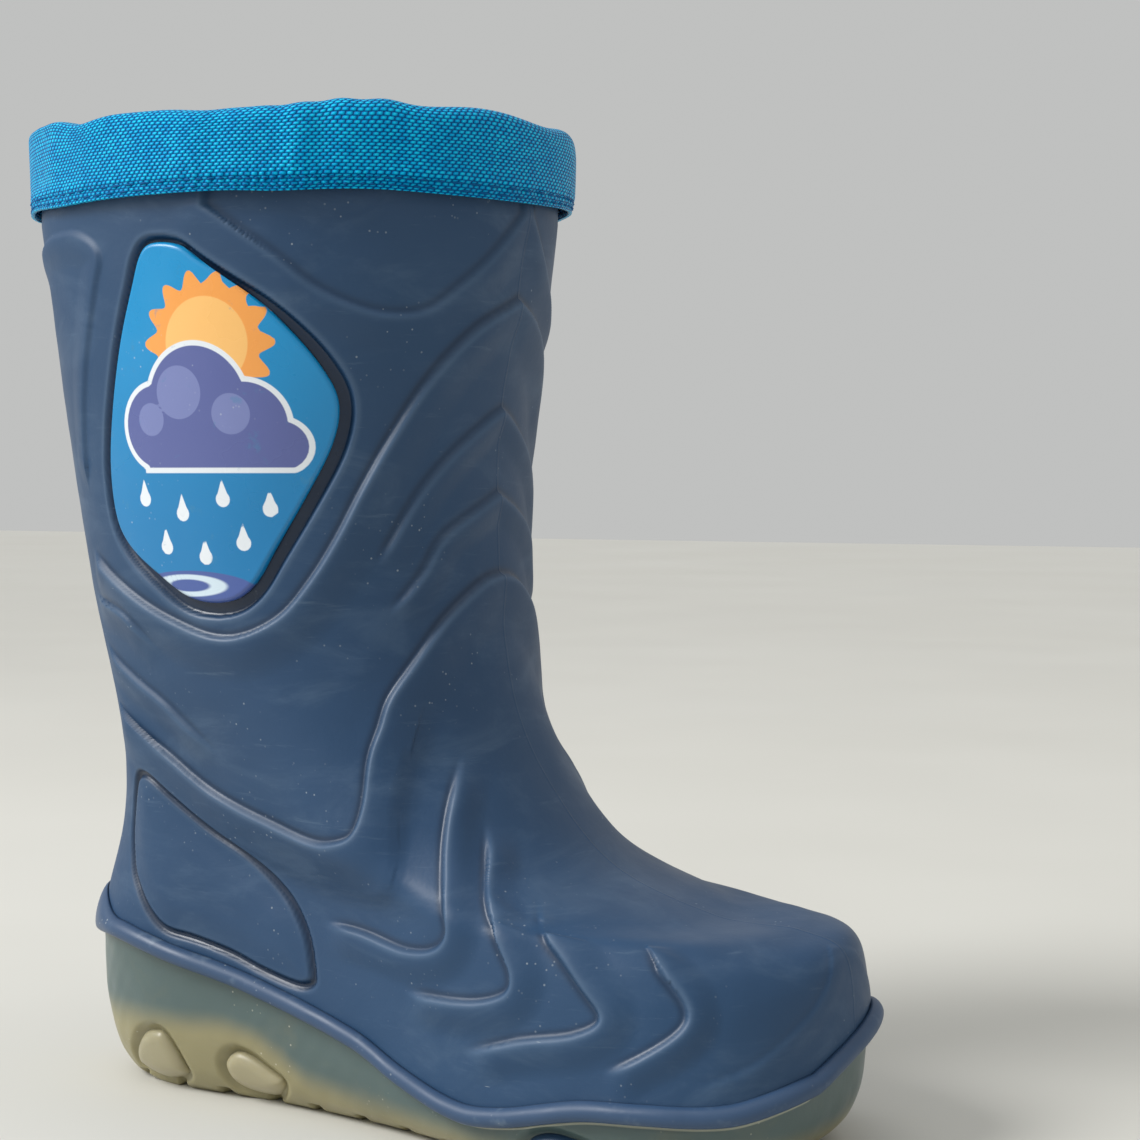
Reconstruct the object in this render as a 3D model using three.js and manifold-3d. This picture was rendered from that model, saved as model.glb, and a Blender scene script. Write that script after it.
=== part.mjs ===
// A child's rubber rain boot for the right foot, with a lift-out liner.
// Millimetres. +X points to the toe, +Y to the inner side of the foot, +Z up; the ground is z = 0.
import * as THREE from "three";
import { mergeVertices } from "three/addons/utils/BufferGeometryUtils.js";
import Module from "manifold-3d";

const wasm = await Module();
wasm.setup();

// ---- driving dimensions ----
const FOOT_LENGTH = 189; // length over which the foot's outline is laid out, heel ledge to toe bead
const BALL_HALF_WIDTH = 41;
const CENTRE_X = 90; // distance from the back of the heel to the middle of the whole boot
const SHAFT_TOP = 202; // rim of the rubber shaft
const SHAFT_STRAIGHT = 191; // above this height the shaft wall is upright, under the cuff
const WALL = 2.8; // rubber wall
const GAP = 0.4; // clearance between neighbouring pieces
const LINER_GAP = 1.5;
const FELT = 3.4; // liner felt
const INSOLE = 2.4;
const INSOLE_INSET = 15;
const TOE_CURL = 2; // the insole curls up this much towards the toe
const LEG_START = 0.66; // station at which the liner's leg tube meets its foot
const FLOOR_STATION = 0.045; // the inner wall leaves the floor at this station
const AROUND = 48; // points around every ring of the boot
const STATIONS = 22; // rings from the sole joint to the rim
const RING_CROWDING = 1.35;
const SECTION_POWER = 2.15; // superellipse power of the shaft's section

const BEAD_HEIGHT = 4;
const BEAD_PROUD = 2.4;
const LEDGE_HEIGHT = 11; // the bead grows into a kick-off ledge at the back of the heel
const LEDGE_PROUD = 0.6; // where it stands this share as far out
const LEDGE_END = 22; // and is back to its own height here
const TOE_RISE = 10; // the sole joint stands this much higher on the inner side of the toe
const TOE_RISE_WIDTH = 36; // and rises over this width

const CUFF_LOW = 192.6;
const CUFF_TOP = 210.5;
const SHAFT_REACH = 70; // sideways reach of a cutter, past the widest part of the boot

const SOLE_INSET = 1.2; // the sole's wall stands this far inside the sole joint
const TREAD_INSET = 7.5;
const TREAD_DEPTH = 2.2;
const TREAD_BORDER = 12; // the grooves stop this far inside the sole joint
const TREAD_START = 20;
const TREAD_END = 150;
const TREAD_PITCH = 13;
const TREAD_GROOVE = 3.5;
const CORE_INSET = 13;
const CORE_FLOOR = 3.6;

const PANEL_RECESS = 1.5; // depth of the shaft recess that holds the printed panel
const PANEL_GROOVE = 1.6; // width of the open groove left round the panel
const PANEL_SINK = 0.3; // the panel's face lies this far below the rubber

const COLOURS = {
  rubber: 0x32496b,
  bead: 0x4b6694,
  sole: 0xa89b72,
  base: 0x2d5f8f,
  cuff: 0x0083be,
  felt: 0x8c9096,
  print: 0x0085c4,
};

// Outline of the sole joint in plan, from the back of the heel along the outer side to the toe,
// and back along the inner side.
const OUTLINE = [
  [2.4, 0], [8.8, -17.5], [28, -28.5], [60, -30], [92, -34], [122, -40], [146, -41], [168, -37], [182, -25],
  [187.5, 0], [183, 18.5], [169.5, 31], [146, 38.5], [122, 37], [92, 31], [60, 28.5], [28, 28.5], [8.8, 17.5],
];

// ---- curves ----

// A smooth function through the points (xs, ys), level with its neighbours' slope at each point.
function profile(xs, ys) {
  const last = xs.length - 1;
  const slopes = xs.map((_, i) => {
    const a = Math.max(i - 1, 0);
    const b = Math.min(i + 1, last);
    return (ys[b] - ys[a]) / (xs[b] - xs[a]);
  });
  return (value) => {
    const x = THREE.MathUtils.clamp(value, xs[0], xs[last]);
    let i = 0;
    while (i < last - 1 && x >= xs[i + 1]) i++;
    const h = xs[i + 1] - xs[i];
    const u = (x - xs[i]) / h;
    const rise = u * u * (3 - 2 * u);
    return (
      (1 - rise) * ys[i] + rise * ys[i + 1] +
      (u ** 3 - 2 * u * u + u) * h * slopes[i] + (u ** 3 - u * u) * h * slopes[i + 1]
    );
  };
}

// Each ring of the boot runs from a point on its back line to a point on its front line.
// Stations go from 0 at the sole joint to 1 at the rim.
const STATION = Array.from({ length: 12 }, (_, i) => i / 11);
const backX = profile(STATION, [0, 3.7, 7.5, 10.1, 11.5, 11.1, 9.4, 6.3, 3.5, 0.5, -3, -6.1]);
const backZ = profile(STATION, [31.5, 43, 54, 64, 74, 84, 96, 110, 128, 150, 172, SHAFT_STRAIGHT]);
const frontX = profile(
  STATION, [FOOT_LENGTH, 186.6, 177, 156, 133, 118.5, 109.6, 105.7, 104.5, 105.1, 108.9, 111.8],
);
const frontZ = profile(
  STATION, [22, 42.3, 47.4, 47.5, 54.8, 69.5, 85.6, 104.5, 126, 148, 170, SHAFT_STRAIGHT],
);
const halfWidth = profile(STATION, [41, 41, 40.5, 40, 39.5, 39.5, 40.5, 42, 44, 46.5, 48, 49]);
// How far each ring has turned from the foot's outline, 0, into the shaft's oval, 1.
const heelRoundness = profile(STATION, [0, 0, 0.08, 0.2, 0.38, 0.6, 0.82, 0.95, 1, 1, 1, 1]);
const toeRoundness = profile(STATION, [0, 0.4, 0.6, 0.7, 0.8, 0.88, 0.95, 1, 1, 1, 1, 1]);

// Height of the sole joint and of the tread along the foot.
const outerJoint = profile(
  [0, 14, 24, 40, 60, 90, 105, 120, 130, 147, 160, 175, 182, FOOT_LENGTH],
  [31.5, 33.4, 33.4, 30, 26, 18.2, 12.2, 8.2, 8.7, 12.2, 12.8, 13, 15, 18.7],
);
const towardsInner = (y) => THREE.MathUtils.clamp(y / TOE_RISE_WIDTH + 0.44, 0, 1);
const jointZ = (x, y) => outerJoint(x) + TOE_RISE * towardsInner(y) * THREE.MathUtils.smoothstep(x, 152, 186);
const toeSpring = profile([140, 172, FOOT_LENGTH], [0, 1.2, 5]);
const treadZ = (x) => Math.max(toeSpring(x), 0);
const DIP_STATIONS = 0.4; // the joint's dip under the foot fades out over these stations

const outline = new THREE.CatmullRomCurve3(
  OUTLINE.map(([x, y]) => new THREE.Vector3(x, y, 0)), true, "catmullrom", 0.5,
);

const signedPower = (v, p) => Math.sign(v) * Math.abs(v) ** p;

// A point of the boot's outer surface at a station, going round as u goes from 0 to 1.
function surfacePoint(station, u) {
  const t = THREE.MathUtils.clamp(station, 0, 1);
  const plan = outline.getPoint(((u % 1) + 1) % 1);
  const along = (plan.x / FOOT_LENGTH) * 2 - 1;
  const across = plan.y / BALL_HALF_WIDTH;
  const turn = Math.atan2(-across, -along);
  const toeShare = THREE.MathUtils.smoothstep(along, -0.1, 0.7);
  const turned = THREE.MathUtils.lerp(heelRoundness(t), toeRoundness(t), toeShare);
  const m = THREE.MathUtils.clamp(turned, 0, 1);
  const s = (1 - m) * along + m * signedPower(-Math.cos(turn), 2 / SECTION_POWER);
  const h = (1 - m) * across + m * signedPower(-Math.sin(turn), 2 / SECTION_POWER);
  const share = (s + 1) / 2;
  const x = THREE.MathUtils.lerp(backX(t), frontX(t), share);
  const level = THREE.MathUtils.lerp(backZ(t), frontZ(t), share);
  const fade = Math.max(1 - t / DIP_STATIONS, 0) ** 2;
  const straight = THREE.MathUtils.lerp(backZ(0), frontZ(0), THREE.MathUtils.clamp(x / FOOT_LENGTH, 0, 1));
  const y = halfWidth(t) * h;
  return new THREE.Vector3(x, y, level + fade * (jointZ(x, y) - straight));
}

// The same surface moved outwards by a distance, along its own normal.
function offsetPoint(station, u, distance) {
  const step = 0.004;
  const low = Math.max(station - step, 0);
  const up = surfacePoint(low + 2 * step, u).sub(surfacePoint(low, u));
  const round = surfacePoint(station, u + step).sub(surfacePoint(station, u - step));
  const normal = round.cross(up).normalize();
  return surfacePoint(station, u).addScaledVector(normal, distance);
}

// ---- solids ----

function ringAt(station, distance, lift = 0) {
  return Array.from({ length: AROUND }, (_, i) => {
    const p = offsetPoint(station, i / AROUND, distance);
    p.z += lift;
    return p;
  });
}

// Rings from one station to another at one distance from the outer surface, closer together low down.
function ringsBetween(from, to, distance, count) {
  return Array.from({ length: count + 1 }, (_, i) =>
    ringAt(THREE.MathUtils.lerp(from, to, (i / count) ** RING_CROWDING), distance));
}

// A ring in plan, inset from the sole joint, with its own height at each point.
function planRing(inset, heightAt, count = AROUND) {
  return Array.from({ length: count }, (_, i) => {
    const u = i / count;
    const p = outline.getPoint(u);
    const along = outline.getTangent(u);
    p.addScaledVector(new THREE.Vector3(-along.y, along.x, 0), inset);
    p.z = heightAt(p.x, p.y);
    return p;
  });
}

function geometryFrom(points, faces) {
  const geometry = new THREE.BufferGeometry();
  geometry.setAttribute("position", new THREE.Float32BufferAttribute(points.flatMap((p) => p.toArray()), 3));
  geometry.setIndex(faces);
  return geometry;
}

// A body through a stack of rings, closed at both ends by strips across it, or joined end to end.
function loft(rings, joined = false) {
  const n = rings[0].length;
  const faces = [];
  const quad = (a, b, c, d) => faces.push(a, b, c, a, c, d);
  const levels = joined ? rings.length : rings.length - 1;
  for (let k = 0; k < levels; k++) {
    const next = (k + 1) % rings.length;
    for (let i = 0; i < n; i++) {
      const j = (i + 1) % n;
      quad(k * n + i, k * n + j, next * n + j, next * n + i);
    }
  }
  if (!joined) {
    const top = (rings.length - 1) * n;
    for (let i = 0; i < n / 2; i++) {
      const [a, b] = [i, i + 1];
      const [c, d] = [(n - i) % n, n - i - 1];
      if (a !== c) faces.push(a, c, d, top + a, top + d, top + c);
      if (b !== d) faces.push(a, d, b, top + a, top + b, top + d);
    }
  }
  return solidFrom(geometryFrom(rings.flat(), faces));
}

function solidFrom(geometry) {
  const bare = geometry.clone();
  bare.deleteAttribute("normal");
  bare.deleteAttribute("uv");
  const merged = mergeVertices(bare, 1e-3);
  const made = new wasm.Manifold(new wasm.Mesh({
    numProp: 3,
    vertProperties: merged.attributes.position.array,
    triVerts: new Uint32Array(merged.index.array),
  }));
  return made;
}

// A straight bar whose section is an outline in the side view, from y = from to y = to.
function sideBar(points, from, to) {
  const shape = new THREE.Shape(points.map(([x, z]) => new THREE.Vector2(x, z)));
  const geometry = new THREE.ExtrudeGeometry(shape, { depth: to - from, bevelEnabled: false });
  geometry.rotateX(Math.PI / 2);
  geometry.translate(0, to, 0);
  return solidFrom(geometry);
}

function box(low, high) {
  const geometry = new THREE.BoxGeometry(high[0] - low[0], high[1] - low[1], high[2] - low[2]);
  geometry.translate((low[0] + high[0]) / 2, (low[1] + high[1]) / 2, (low[2] + high[2]) / 2);
  return solidFrom(geometry);
}

// The outline through control points in the side view, rounded into a smooth closed curve.
function roundedOutline(points, count) {
  const curve = new THREE.SplineCurve([...points, points[0]].map(([x, z]) => new THREE.Vector2(x, z)));
  return curve.getPoints(count).slice(0, -1).map((p) => [p.x, p.y]);
}

// An outline that runs clockwise, grown outwards by a distance.
function grown(points, distance) {
  const n = points.length;
  return points.map(([x, z], i) => {
    const [ax, az] = points[(i + n - 1) % n];
    const [bx, bz] = points[(i + 1) % n];
    const length = Math.hypot(bx - ax, bz - az);
    return [x - ((bz - az) / length) * distance, z + ((bx - ax) / length) * distance];
  });
}

const boot = new THREE.Group();

function addPiece(name, solid, colour, roughness) {
  const mesh = solid.getMesh();
  const geometry = new THREE.BufferGeometry();
  geometry.setAttribute("position", new THREE.BufferAttribute(mesh.vertProperties, 3));
  geometry.setIndex(new THREE.BufferAttribute(mesh.triVerts, 1));
  geometry.computeVertexNormals();
  const material = new THREE.MeshStandardMaterial({ color: colour, roughness, metalness: 0 });
  const piece = new THREE.Mesh(geometry, material);
  piece.name = name;
  boot.add(piece);
}

// The space inside the outer surface moved inwards by a distance: a floor that follows the sole
// joint at a height above it, then rings from one station to another.
function inside(distance, floorHeight, from, to, count = STATIONS) {
  const floor = planRing(distance, (x, y) => jointZ(x, y) + floorHeight);
  return [floor, ...ringsBetween(from, to, -distance, count)];
}

// The same space carried on up, past the rim.
function hollow(distance, floorHeight, from, above) {
  return loft([...inside(distance, floorHeight, from, 1), ringAt(1, -distance, above)]);
}

// ---- upper ----

const rimLift = SHAFT_TOP - SHAFT_STRAIGHT;
const PANEL_OUTLINE = [
  [50, 185], [62, 181], [75, 172.5], [85, 161], [89.5, 150], [85, 136], [76, 120], [66, 109],
  [54, 110], [42, 117], [33.5, 128], [33.5, 142], [37, 156], [42, 173], [45, 183],
];
const panelEdge = roundedOutline(PANEL_OUTLINE, 40);

function upperShell() {
  const outer = loft([...ringsBetween(0, 1, 0, STATIONS), ringAt(1, 0, rimLift)]);
  const inner = hollow(WALL, WALL, FLOOR_STATION, rimLift + WALL);
  const recess = sideBar(grown(panelEdge, PANEL_GROOVE), -SHAFT_REACH, 0)
    .subtract(hollow(PANEL_RECESS, PANEL_RECESS, 0.03, rimLift));
  return outer.subtract(inner).subtract(recess);
}

function printPanel() {
  const face = hollow(PANEL_SINK, PANEL_SINK, 0.01, rimLift);
  const back = hollow(PANEL_RECESS - GAP, PANEL_RECESS, 0.03, rimLift);
  return sideBar(panelEdge, -SHAFT_REACH, 0).intersect(face).subtract(back);
}

// The bead is a half-round strip that wraps the lower edge of the upper. Each of its rows stands a
// distance out from the upper and at a share of the bead's height.
function bead() {
  const section = [[GAP, 0.08], [1.6, 0], [BEAD_PROUD, 0.33], [BEAD_PROUD, 0.67], [1.6, 1], [GAP, 0.92]];
  const rings = section.map(([out, share]) => Array.from({ length: AROUND }, (_, i) => {
    const u = i / AROUND;
    const along = outline.getTangent(u);
    const p = surfacePoint(0, u);
    const ledge = 1 - THREE.MathUtils.smoothstep(p.x, 4, LEDGE_END);
    const high = THREE.MathUtils.lerp(BEAD_HEIGHT, LEDGE_HEIGHT, ledge);
    const proud = out * THREE.MathUtils.lerp(1, LEDGE_PROUD, ledge);
    p.addScaledVector(new THREE.Vector3(along.y, -along.x, 0), Math.max(proud, GAP));
    p.z += share * high;
    return p;
  }));
  return loft(rings, true);
}

addPiece("upper_shell", upperShell(), COLOURS.rubber, 0.6);
addPiece("print_panel", printPanel(), COLOURS.print, 0.35);
addPiece("rand_bead", bead(), COLOURS.bead, 0.55);

// ---- sole ----

// Pods stand in pockets of the sole's wall: the x range, the height and the side, outer or inner.
const PODS = [
  { name: "heel_pod_outer_rear", from: 24, to: 40, high: 13, side: -1, colour: COLOURS.sole },
  { name: "heel_pod_outer_front", from: 52, to: 68, high: 11, side: -1, colour: COLOURS.sole },
  { name: "heel_pod_inner_rear", from: 24, to: 40, high: 13, side: 1, colour: COLOURS.sole },
  { name: "heel_pod_inner_front", from: 52, to: 68, high: 11, side: 1, colour: COLOURS.sole },
  { name: "forefoot_pod_outer", from: 136, to: 156, high: 9.5, side: -1, colour: COLOURS.base },
  { name: "forefoot_pod_inner", from: 136, to: 156, high: 9.5, side: 1, colour: COLOURS.base },
];
const POD_BACK = 11; // the back of a pocket lies this far inside the sole joint
const POD_PROUD = 0.5;
const POD_LEAN = 3; // the pods lean back towards the heel
const POD_LIFT = 2; // they stop short of the ground

// The sole's wall bulges a little between its joint and its rounded lower edge.
function soleBody(extra) {
  const levels = [[TREAD_INSET + 2.5, 0], [TREAD_INSET, 0.06], [4.4, 0.22], [2.2, 0.5], [SOLE_INSET, 1]];
  const heightAt = (share) => (x, y) => THREE.MathUtils.lerp(treadZ(x), jointZ(x, y) - GAP, share);
  return loft(levels.map(([inset, share]) => planRing(inset - extra, heightAt(share))));
}

// An upright body inside the sole's outline, taller than the sole.
function uprightBody(inset) {
  return loft([planRing(inset, () => -2), planRing(inset, () => 60)]);
}

function podOutline(pod, margin) {
  const low = POD_LIFT - margin;
  const high = pod.high + margin;
  const round = 1.5;
  return [
    [pod.from - margin, low], [pod.from - POD_LEAN - margin, high - round],
    [pod.from - POD_LEAN + round, high], [pod.to - POD_LEAN - round, high],
    [pod.to - POD_LEAN + margin, high - round], [pod.to + margin, low],
  ];
}

// A block on one side of the foot, deep enough to cut the sole's wall.
function podBlock(pod, margin) {
  const wide = BALL_HALF_WIDTH + 10;
  const [from, to] = pod.side < 0 ? [-wide, 0] : [0, wide];
  return sideBar(podOutline(pod, margin), from, to);
}

function coreBody(margin) {
  const floorAt = () => CORE_FLOOR - margin;
  const topAt = (x, y) => Math.max(jointZ(x, y) - GAP * 2, CORE_FLOOR + 2) + (margin ? 20 : 0);
  return loft([planRing(CORE_INSET - margin, floorAt), planRing(CORE_INSET - margin, topAt)]);
}

function outsole() {
  let sole = soleBody(0).subtract(coreBody(GAP));
  for (const pod of PODS) {
    sole = sole.subtract(podBlock(pod, GAP).subtract(uprightBody(POD_BACK)));
  }
  const treadArea = loft([planRing(TREAD_BORDER, () => -1), planRing(TREAD_BORDER, () => TREAD_DEPTH)]);
  for (let x = TREAD_START; x < TREAD_END; x += TREAD_PITCH) {
    const groove = box([x, -SHAFT_REACH, -1], [x + TREAD_GROOVE, SHAFT_REACH, 2 * TREAD_DEPTH]);
    sole = sole.subtract(groove.intersect(treadArea));
  }
  return sole;
}

function podPiece(pod) {
  return podBlock(pod, 0).intersect(soleBody(POD_PROUD)).subtract(uprightBody(POD_BACK - GAP));
}

addPiece("outsole", outsole(), COLOURS.sole, 0.45);
addPiece("midsole_core", coreBody(0), COLOURS.base, 0.6);
for (const pod of PODS) addPiece(pod.name, podPiece(pod), pod.colour, 0.5);

// ---- liner ----

// A felt wall between two distances inside the outer surface.
const LINER_OUT = WALL + LINER_GAP;
const LINER_IN = LINER_OUT + FELT;
const LINER_TOP = SHAFT_TOP + 3;

function linerLeg() {
  const rimUp = LINER_TOP - SHAFT_STRAIGHT;
  const wall = (depth) => [...ringsBetween(LEG_START, 1, -depth, 7), ringAt(1, -depth, rimUp)];
  return loft([...wall(LINER_OUT), ...wall(LINER_IN).reverse()], true);
}

const FOOT_TOP = LEG_START - 0.006;
const FOOT_RINGS = 20;
const FOOT_EASE = 1.2; // the liner's sole is this much smaller, clear of the boot's inner corner

// The room inside the liner's foot, a distance inside the boot's outer surface.
function footRoom(distance) {
  return loft([...inside(distance, distance, 0.1, FOOT_TOP, FOOT_RINGS), ringAt(FOOT_TOP, -distance, 6)]);
}

function linerFoot() {
  const sole = planRing(LINER_OUT + FOOT_EASE, (x, y) => jointZ(x, y) + LINER_OUT + FOOT_EASE / 2);
  const outer = loft([sole, ...ringsBetween(0.06, FOOT_TOP, -LINER_OUT, FOOT_RINGS)]);
  const inner = footRoom(LINER_IN);
  return outer.subtract(inner);
}

function insole() {
  const levels = [LINER_IN + GAP, LINER_IN + GAP + INSOLE];
  const curl = (x) => TOE_CURL * THREE.MathUtils.smoothstep(x, 135, 165);
  return loft(levels.map((level) => planRing(INSOLE_INSET, (x, y) => jointZ(x, y) + level + curl(x))));
}

// The cuff starts inside the liner's top, folds over the rim and hangs outside the shaft.
function cuff() {
  const outside = [
    [-9.4, 196], [-9.4, 206], [-7.4, 209.4], [-2, CUFF_TOP], [2.4, 209], [4, 205], [3.4, 199], [2, CUFF_LOW],
  ];
  const inside = [
    [0.8, CUFF_LOW], [1.5, 199], [2.4, 204.5], [1.2, 207.6], [-2, 208.8], [-6.7, 208.1], [-8.2, 205.8],
    [-8.2, 196],
  ];
  const rings = [...outside, ...inside].map(([out, z]) => ringAt(1, out, z - SHAFT_STRAIGHT));
  return loft(rings.reverse(), true);
}

addPiece("liner_leg", linerLeg(), COLOURS.felt, 1);
addPiece("liner_foot", linerFoot(), COLOURS.felt, 1);
addPiece("liner_insole", insole(), COLOURS.felt, 1);
addPiece("cuff", cuff(), COLOURS.cuff, 0.7);

boot.position.x = -CENTRE_X;
export default boot;
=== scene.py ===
"""A child's rubber rain boot for the right foot, with a lift-out felt liner and a woven cuff.

Lengths are in millimetres and x runs from the back of the heel until to_frame() takes a
point into the row's frame, in metres. The outer side of the foot is at negative y.
"""
import math

import bmesh
import bpy
import numpy as np
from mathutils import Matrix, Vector


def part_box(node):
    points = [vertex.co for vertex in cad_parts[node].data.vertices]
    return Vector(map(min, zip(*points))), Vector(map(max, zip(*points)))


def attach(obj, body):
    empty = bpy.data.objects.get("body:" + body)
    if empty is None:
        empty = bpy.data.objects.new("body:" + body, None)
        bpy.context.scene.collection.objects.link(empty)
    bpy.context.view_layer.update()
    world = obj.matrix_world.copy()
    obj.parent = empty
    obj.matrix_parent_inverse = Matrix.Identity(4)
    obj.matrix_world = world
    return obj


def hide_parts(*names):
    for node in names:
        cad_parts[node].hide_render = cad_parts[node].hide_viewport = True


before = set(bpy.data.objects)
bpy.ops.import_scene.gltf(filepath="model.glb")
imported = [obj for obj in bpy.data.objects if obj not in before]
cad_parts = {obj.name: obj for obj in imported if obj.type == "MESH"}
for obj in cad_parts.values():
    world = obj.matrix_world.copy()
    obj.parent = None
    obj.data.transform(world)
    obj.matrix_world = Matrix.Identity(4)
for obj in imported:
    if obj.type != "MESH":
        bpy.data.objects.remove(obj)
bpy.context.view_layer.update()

# ---- driving dimensions ----
MM = 0.001
FOOT_LENGTH = 189.0
BALL_HALF_WIDTH = 41.0
CENTRE_X = 90.0
SHAFT_STRAIGHT = 191.0  # above this height the shaft wall is upright
SHAFT_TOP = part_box("upper_shell")[1].z / MM
LINER_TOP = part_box("liner_leg")[1].z / MM
WALL = 2.8
LINER_OUT = 4.3  # from the boot's outer surface to the liner's
FELT = 3.4
LINER_IN = LINER_OUT + FELT
INSOLE = 2.4
INSOLE_INSET = 15.0
GAP = 0.4
SOLE_INSET = 1.2
TREAD_INSET = 7.5
TREAD_DEPTH = 2.2
TREAD_START = 20.0
TREAD_END = 150.0
TREAD_PITCH = 13.0
TREAD_GROOVE = 3.5
CORE_INSET = 13.0
PANEL_RECESS = 1.5
SECTION_POWER = 2.15

AROUND = 792  # points round a dense ring
UP = 432  # dense rings from the sole joint to the top of the shaft

# ---- smooth functions ----


def profile(xs, ys):
    """A smooth function through the points (xs, ys), held level past its ends."""
    xs, ys = np.array(xs, float), np.array(ys, float)
    last = len(xs) - 1
    before = np.maximum(np.arange(last + 1) - 1, 0)
    after = np.minimum(np.arange(last + 1) + 1, last)
    slopes = (ys[after] - ys[before]) / (xs[after] - xs[before])

    def at(value):
        x = np.clip(value, xs[0], xs[-1])
        i = np.clip(np.searchsorted(xs, x, side="right") - 1, 0, last - 1)
        h = xs[i + 1] - xs[i]
        u = (x - xs[i]) / h
        rise = u * u * (3 - 2 * u)
        bend = (u**3 - 2 * u * u + u) * slopes[i] + (u**3 - u * u) * slopes[i + 1]
        return (1 - rise) * ys[i] + rise * ys[i + 1] + bend * h

    return at


def smoothstep(x, low, high):
    u = np.clip((x - low) / (high - low), 0, 1)
    return u * u * (3 - 2 * u)


def mix(a, b, share):
    return a + (b - a) * share


def bell(x, width, power=2):
    """1 where x is 0, falling to nothing on both sides."""
    return np.exp(-((x / width) ** power))


def spline(p0, p1, p2, p3, f):
    """The Catmull-Rom curve from p1, at f 0, to p2, at f 1."""
    v0, v1 = (p2 - p0) / 2, (p3 - p1) / 2
    return (2 * p1 - 2 * p2 + v0 + v1) * f**3 + (3 * p2 - 3 * p1 - 2 * v0 - v1) * f**2 + v0 * f + p1


def ripple(points, wavelength, seed, waves=10):
    """Smooth noise of about unit height over points in space."""
    rng = np.random.default_rng(seed)
    total = np.zeros(points.shape[:-1])
    for _ in range(waves):
        direction = rng.normal(size=3)
        direction /= np.linalg.norm(direction)
        length = wavelength * rng.uniform(0.7, 1.5)
        phase = rng.uniform(0, 2 * math.pi)
        total += np.sin(points @ (direction * 2 * math.pi / length) + phase)
    return total / math.sqrt(waves)


# ---- the boot's outer surface ----

OUTLINE = np.array([
    (2.4, 0), (8.8, -17.5), (28, -28.5), (60, -30), (92, -34), (122, -40), (146, -41), (168, -37), (182, -25),
    (187.5, 0), (183, 18.5), (169.5, 31), (146, 38.5), (122, 37), (92, 31), (60, 28.5), (28, 28.5),
    (8.8, 17.5),
], float)
STATION = np.arange(12) / 11
back_x = profile(STATION, [0, 3.7, 7.5, 10.1, 11.5, 11.1, 9.4, 6.3, 3.5, 0.5, -3, -6.1])
back_z = profile(STATION, [31.5, 43, 54, 64, 74, 84, 96, 110, 128, 150, 172, SHAFT_STRAIGHT])
front_x = profile(
    STATION, [FOOT_LENGTH, 185.9, 175.6, 156, 133, 118.5, 109.6, 105.7, 104.5, 105.1, 108.9, 111.8]
)
front_z = profile(STATION, [22, 41.3, 46.9, 47.5, 54.8, 69.5, 85.6, 104.5, 126, 148, 170, SHAFT_STRAIGHT])
half_width = profile(STATION, [41, 41, 40.5, 40, 39.5, 39.5, 40.5, 42, 44, 46.5, 48, 49])
heel_roundness = profile(STATION, [0, 0, 0.08, 0.2, 0.38, 0.6, 0.82, 0.95, 1, 1, 1, 1])
toe_roundness = profile(STATION, [0, 0.4, 0.6, 0.7, 0.8, 0.88, 0.95, 1, 1, 1, 1, 1])
outer_joint = profile(
    [0, 14, 24, 40, 60, 90, 105, 120, 130, 147, 160, 175, 182, FOOT_LENGTH],
    [31.5, 33.4, 33.4, 30, 26, 18.2, 12.2, 8.2, 8.7, 12.2, 12.8, 13, 15, 18.7],
)
TOE_RISE = 10.0  # the sole joint stands this much higher on the inner side of the toe
TOE_RISE_WIDTH = 36.0  # and rises to that over this much of its width
TOE_RISE_START, TOE_RISE_END = 152.0, 186.0
toe_spring = profile([140, 172, FOOT_LENGTH], [0, 1.2, 5])
DIP_STATIONS = 0.4  # the joint's own curve has faded out of the surface at this station


def joint_z(x, y):
    towards_inner = np.clip(y / TOE_RISE_WIDTH + 0.44, 0, 1)
    return outer_joint(x) + TOE_RISE * towards_inner * smoothstep(x, TOE_RISE_START, TOE_RISE_END)


def tread_z(x):
    return np.maximum(toe_spring(x), 0)


def plan(u):
    """A point of the sole joint in plan; u runs from 0 to 1 round it, from the back of the heel."""
    n = len(OUTLINE)
    w = (np.asarray(u, float) % 1) * n
    i = np.floor(w).astype(int)
    f = (w - i)[..., None]
    return spline(*(OUTLINE[(i + k) % n] for k in (-1, 0, 1, 2)), f)


def plan_outward(u):
    step = 1e-4
    along = plan(np.asarray(u) + step) - plan(np.asarray(u) - step)
    along /= np.linalg.norm(along, axis=-1, keepdims=True)
    return np.stack([along[..., 1], -along[..., 0]], -1)


def signed_power(v, p):
    return np.sign(v) * np.abs(v) ** p


def surface(station, u):
    """Points of the outer surface: station 0 is the sole joint, 1 is where the shaft turns upright."""
    station, u = np.broadcast_arrays(np.asarray(station, float), np.asarray(u, float))
    t = np.clip(station, 0, 1)
    q = plan(u)
    along = q[..., 0] / FOOT_LENGTH * 2 - 1
    across = q[..., 1] / BALL_HALF_WIDTH
    turn = np.arctan2(-across, -along)
    m = np.clip(mix(heel_roundness(t), toe_roundness(t), smoothstep(along, -0.1, 0.7)), 0, 1)
    s = mix(along, signed_power(-np.cos(turn), 2 / SECTION_POWER), m)
    h = mix(across, signed_power(-np.sin(turn), 2 / SECTION_POWER), m)
    share = (s + 1) / 2
    x = mix(back_x(t), front_x(t), share)
    level = mix(back_z(t), front_z(t), share)
    fade = np.maximum(1 - t / DIP_STATIONS, 0) ** 2
    straight = mix(back_z(0.0), front_z(0.0), np.clip(x / FOOT_LENGTH, 0, 1))
    y = half_width(t) * h
    z = level + fade * (joint_z(x, y) - straight)
    lift = np.maximum(station - 1, 0) * SHAFT_STRAIGHT  # past station 1 the wall goes straight up
    return np.stack([x, y, z + lift], -1)


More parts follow.
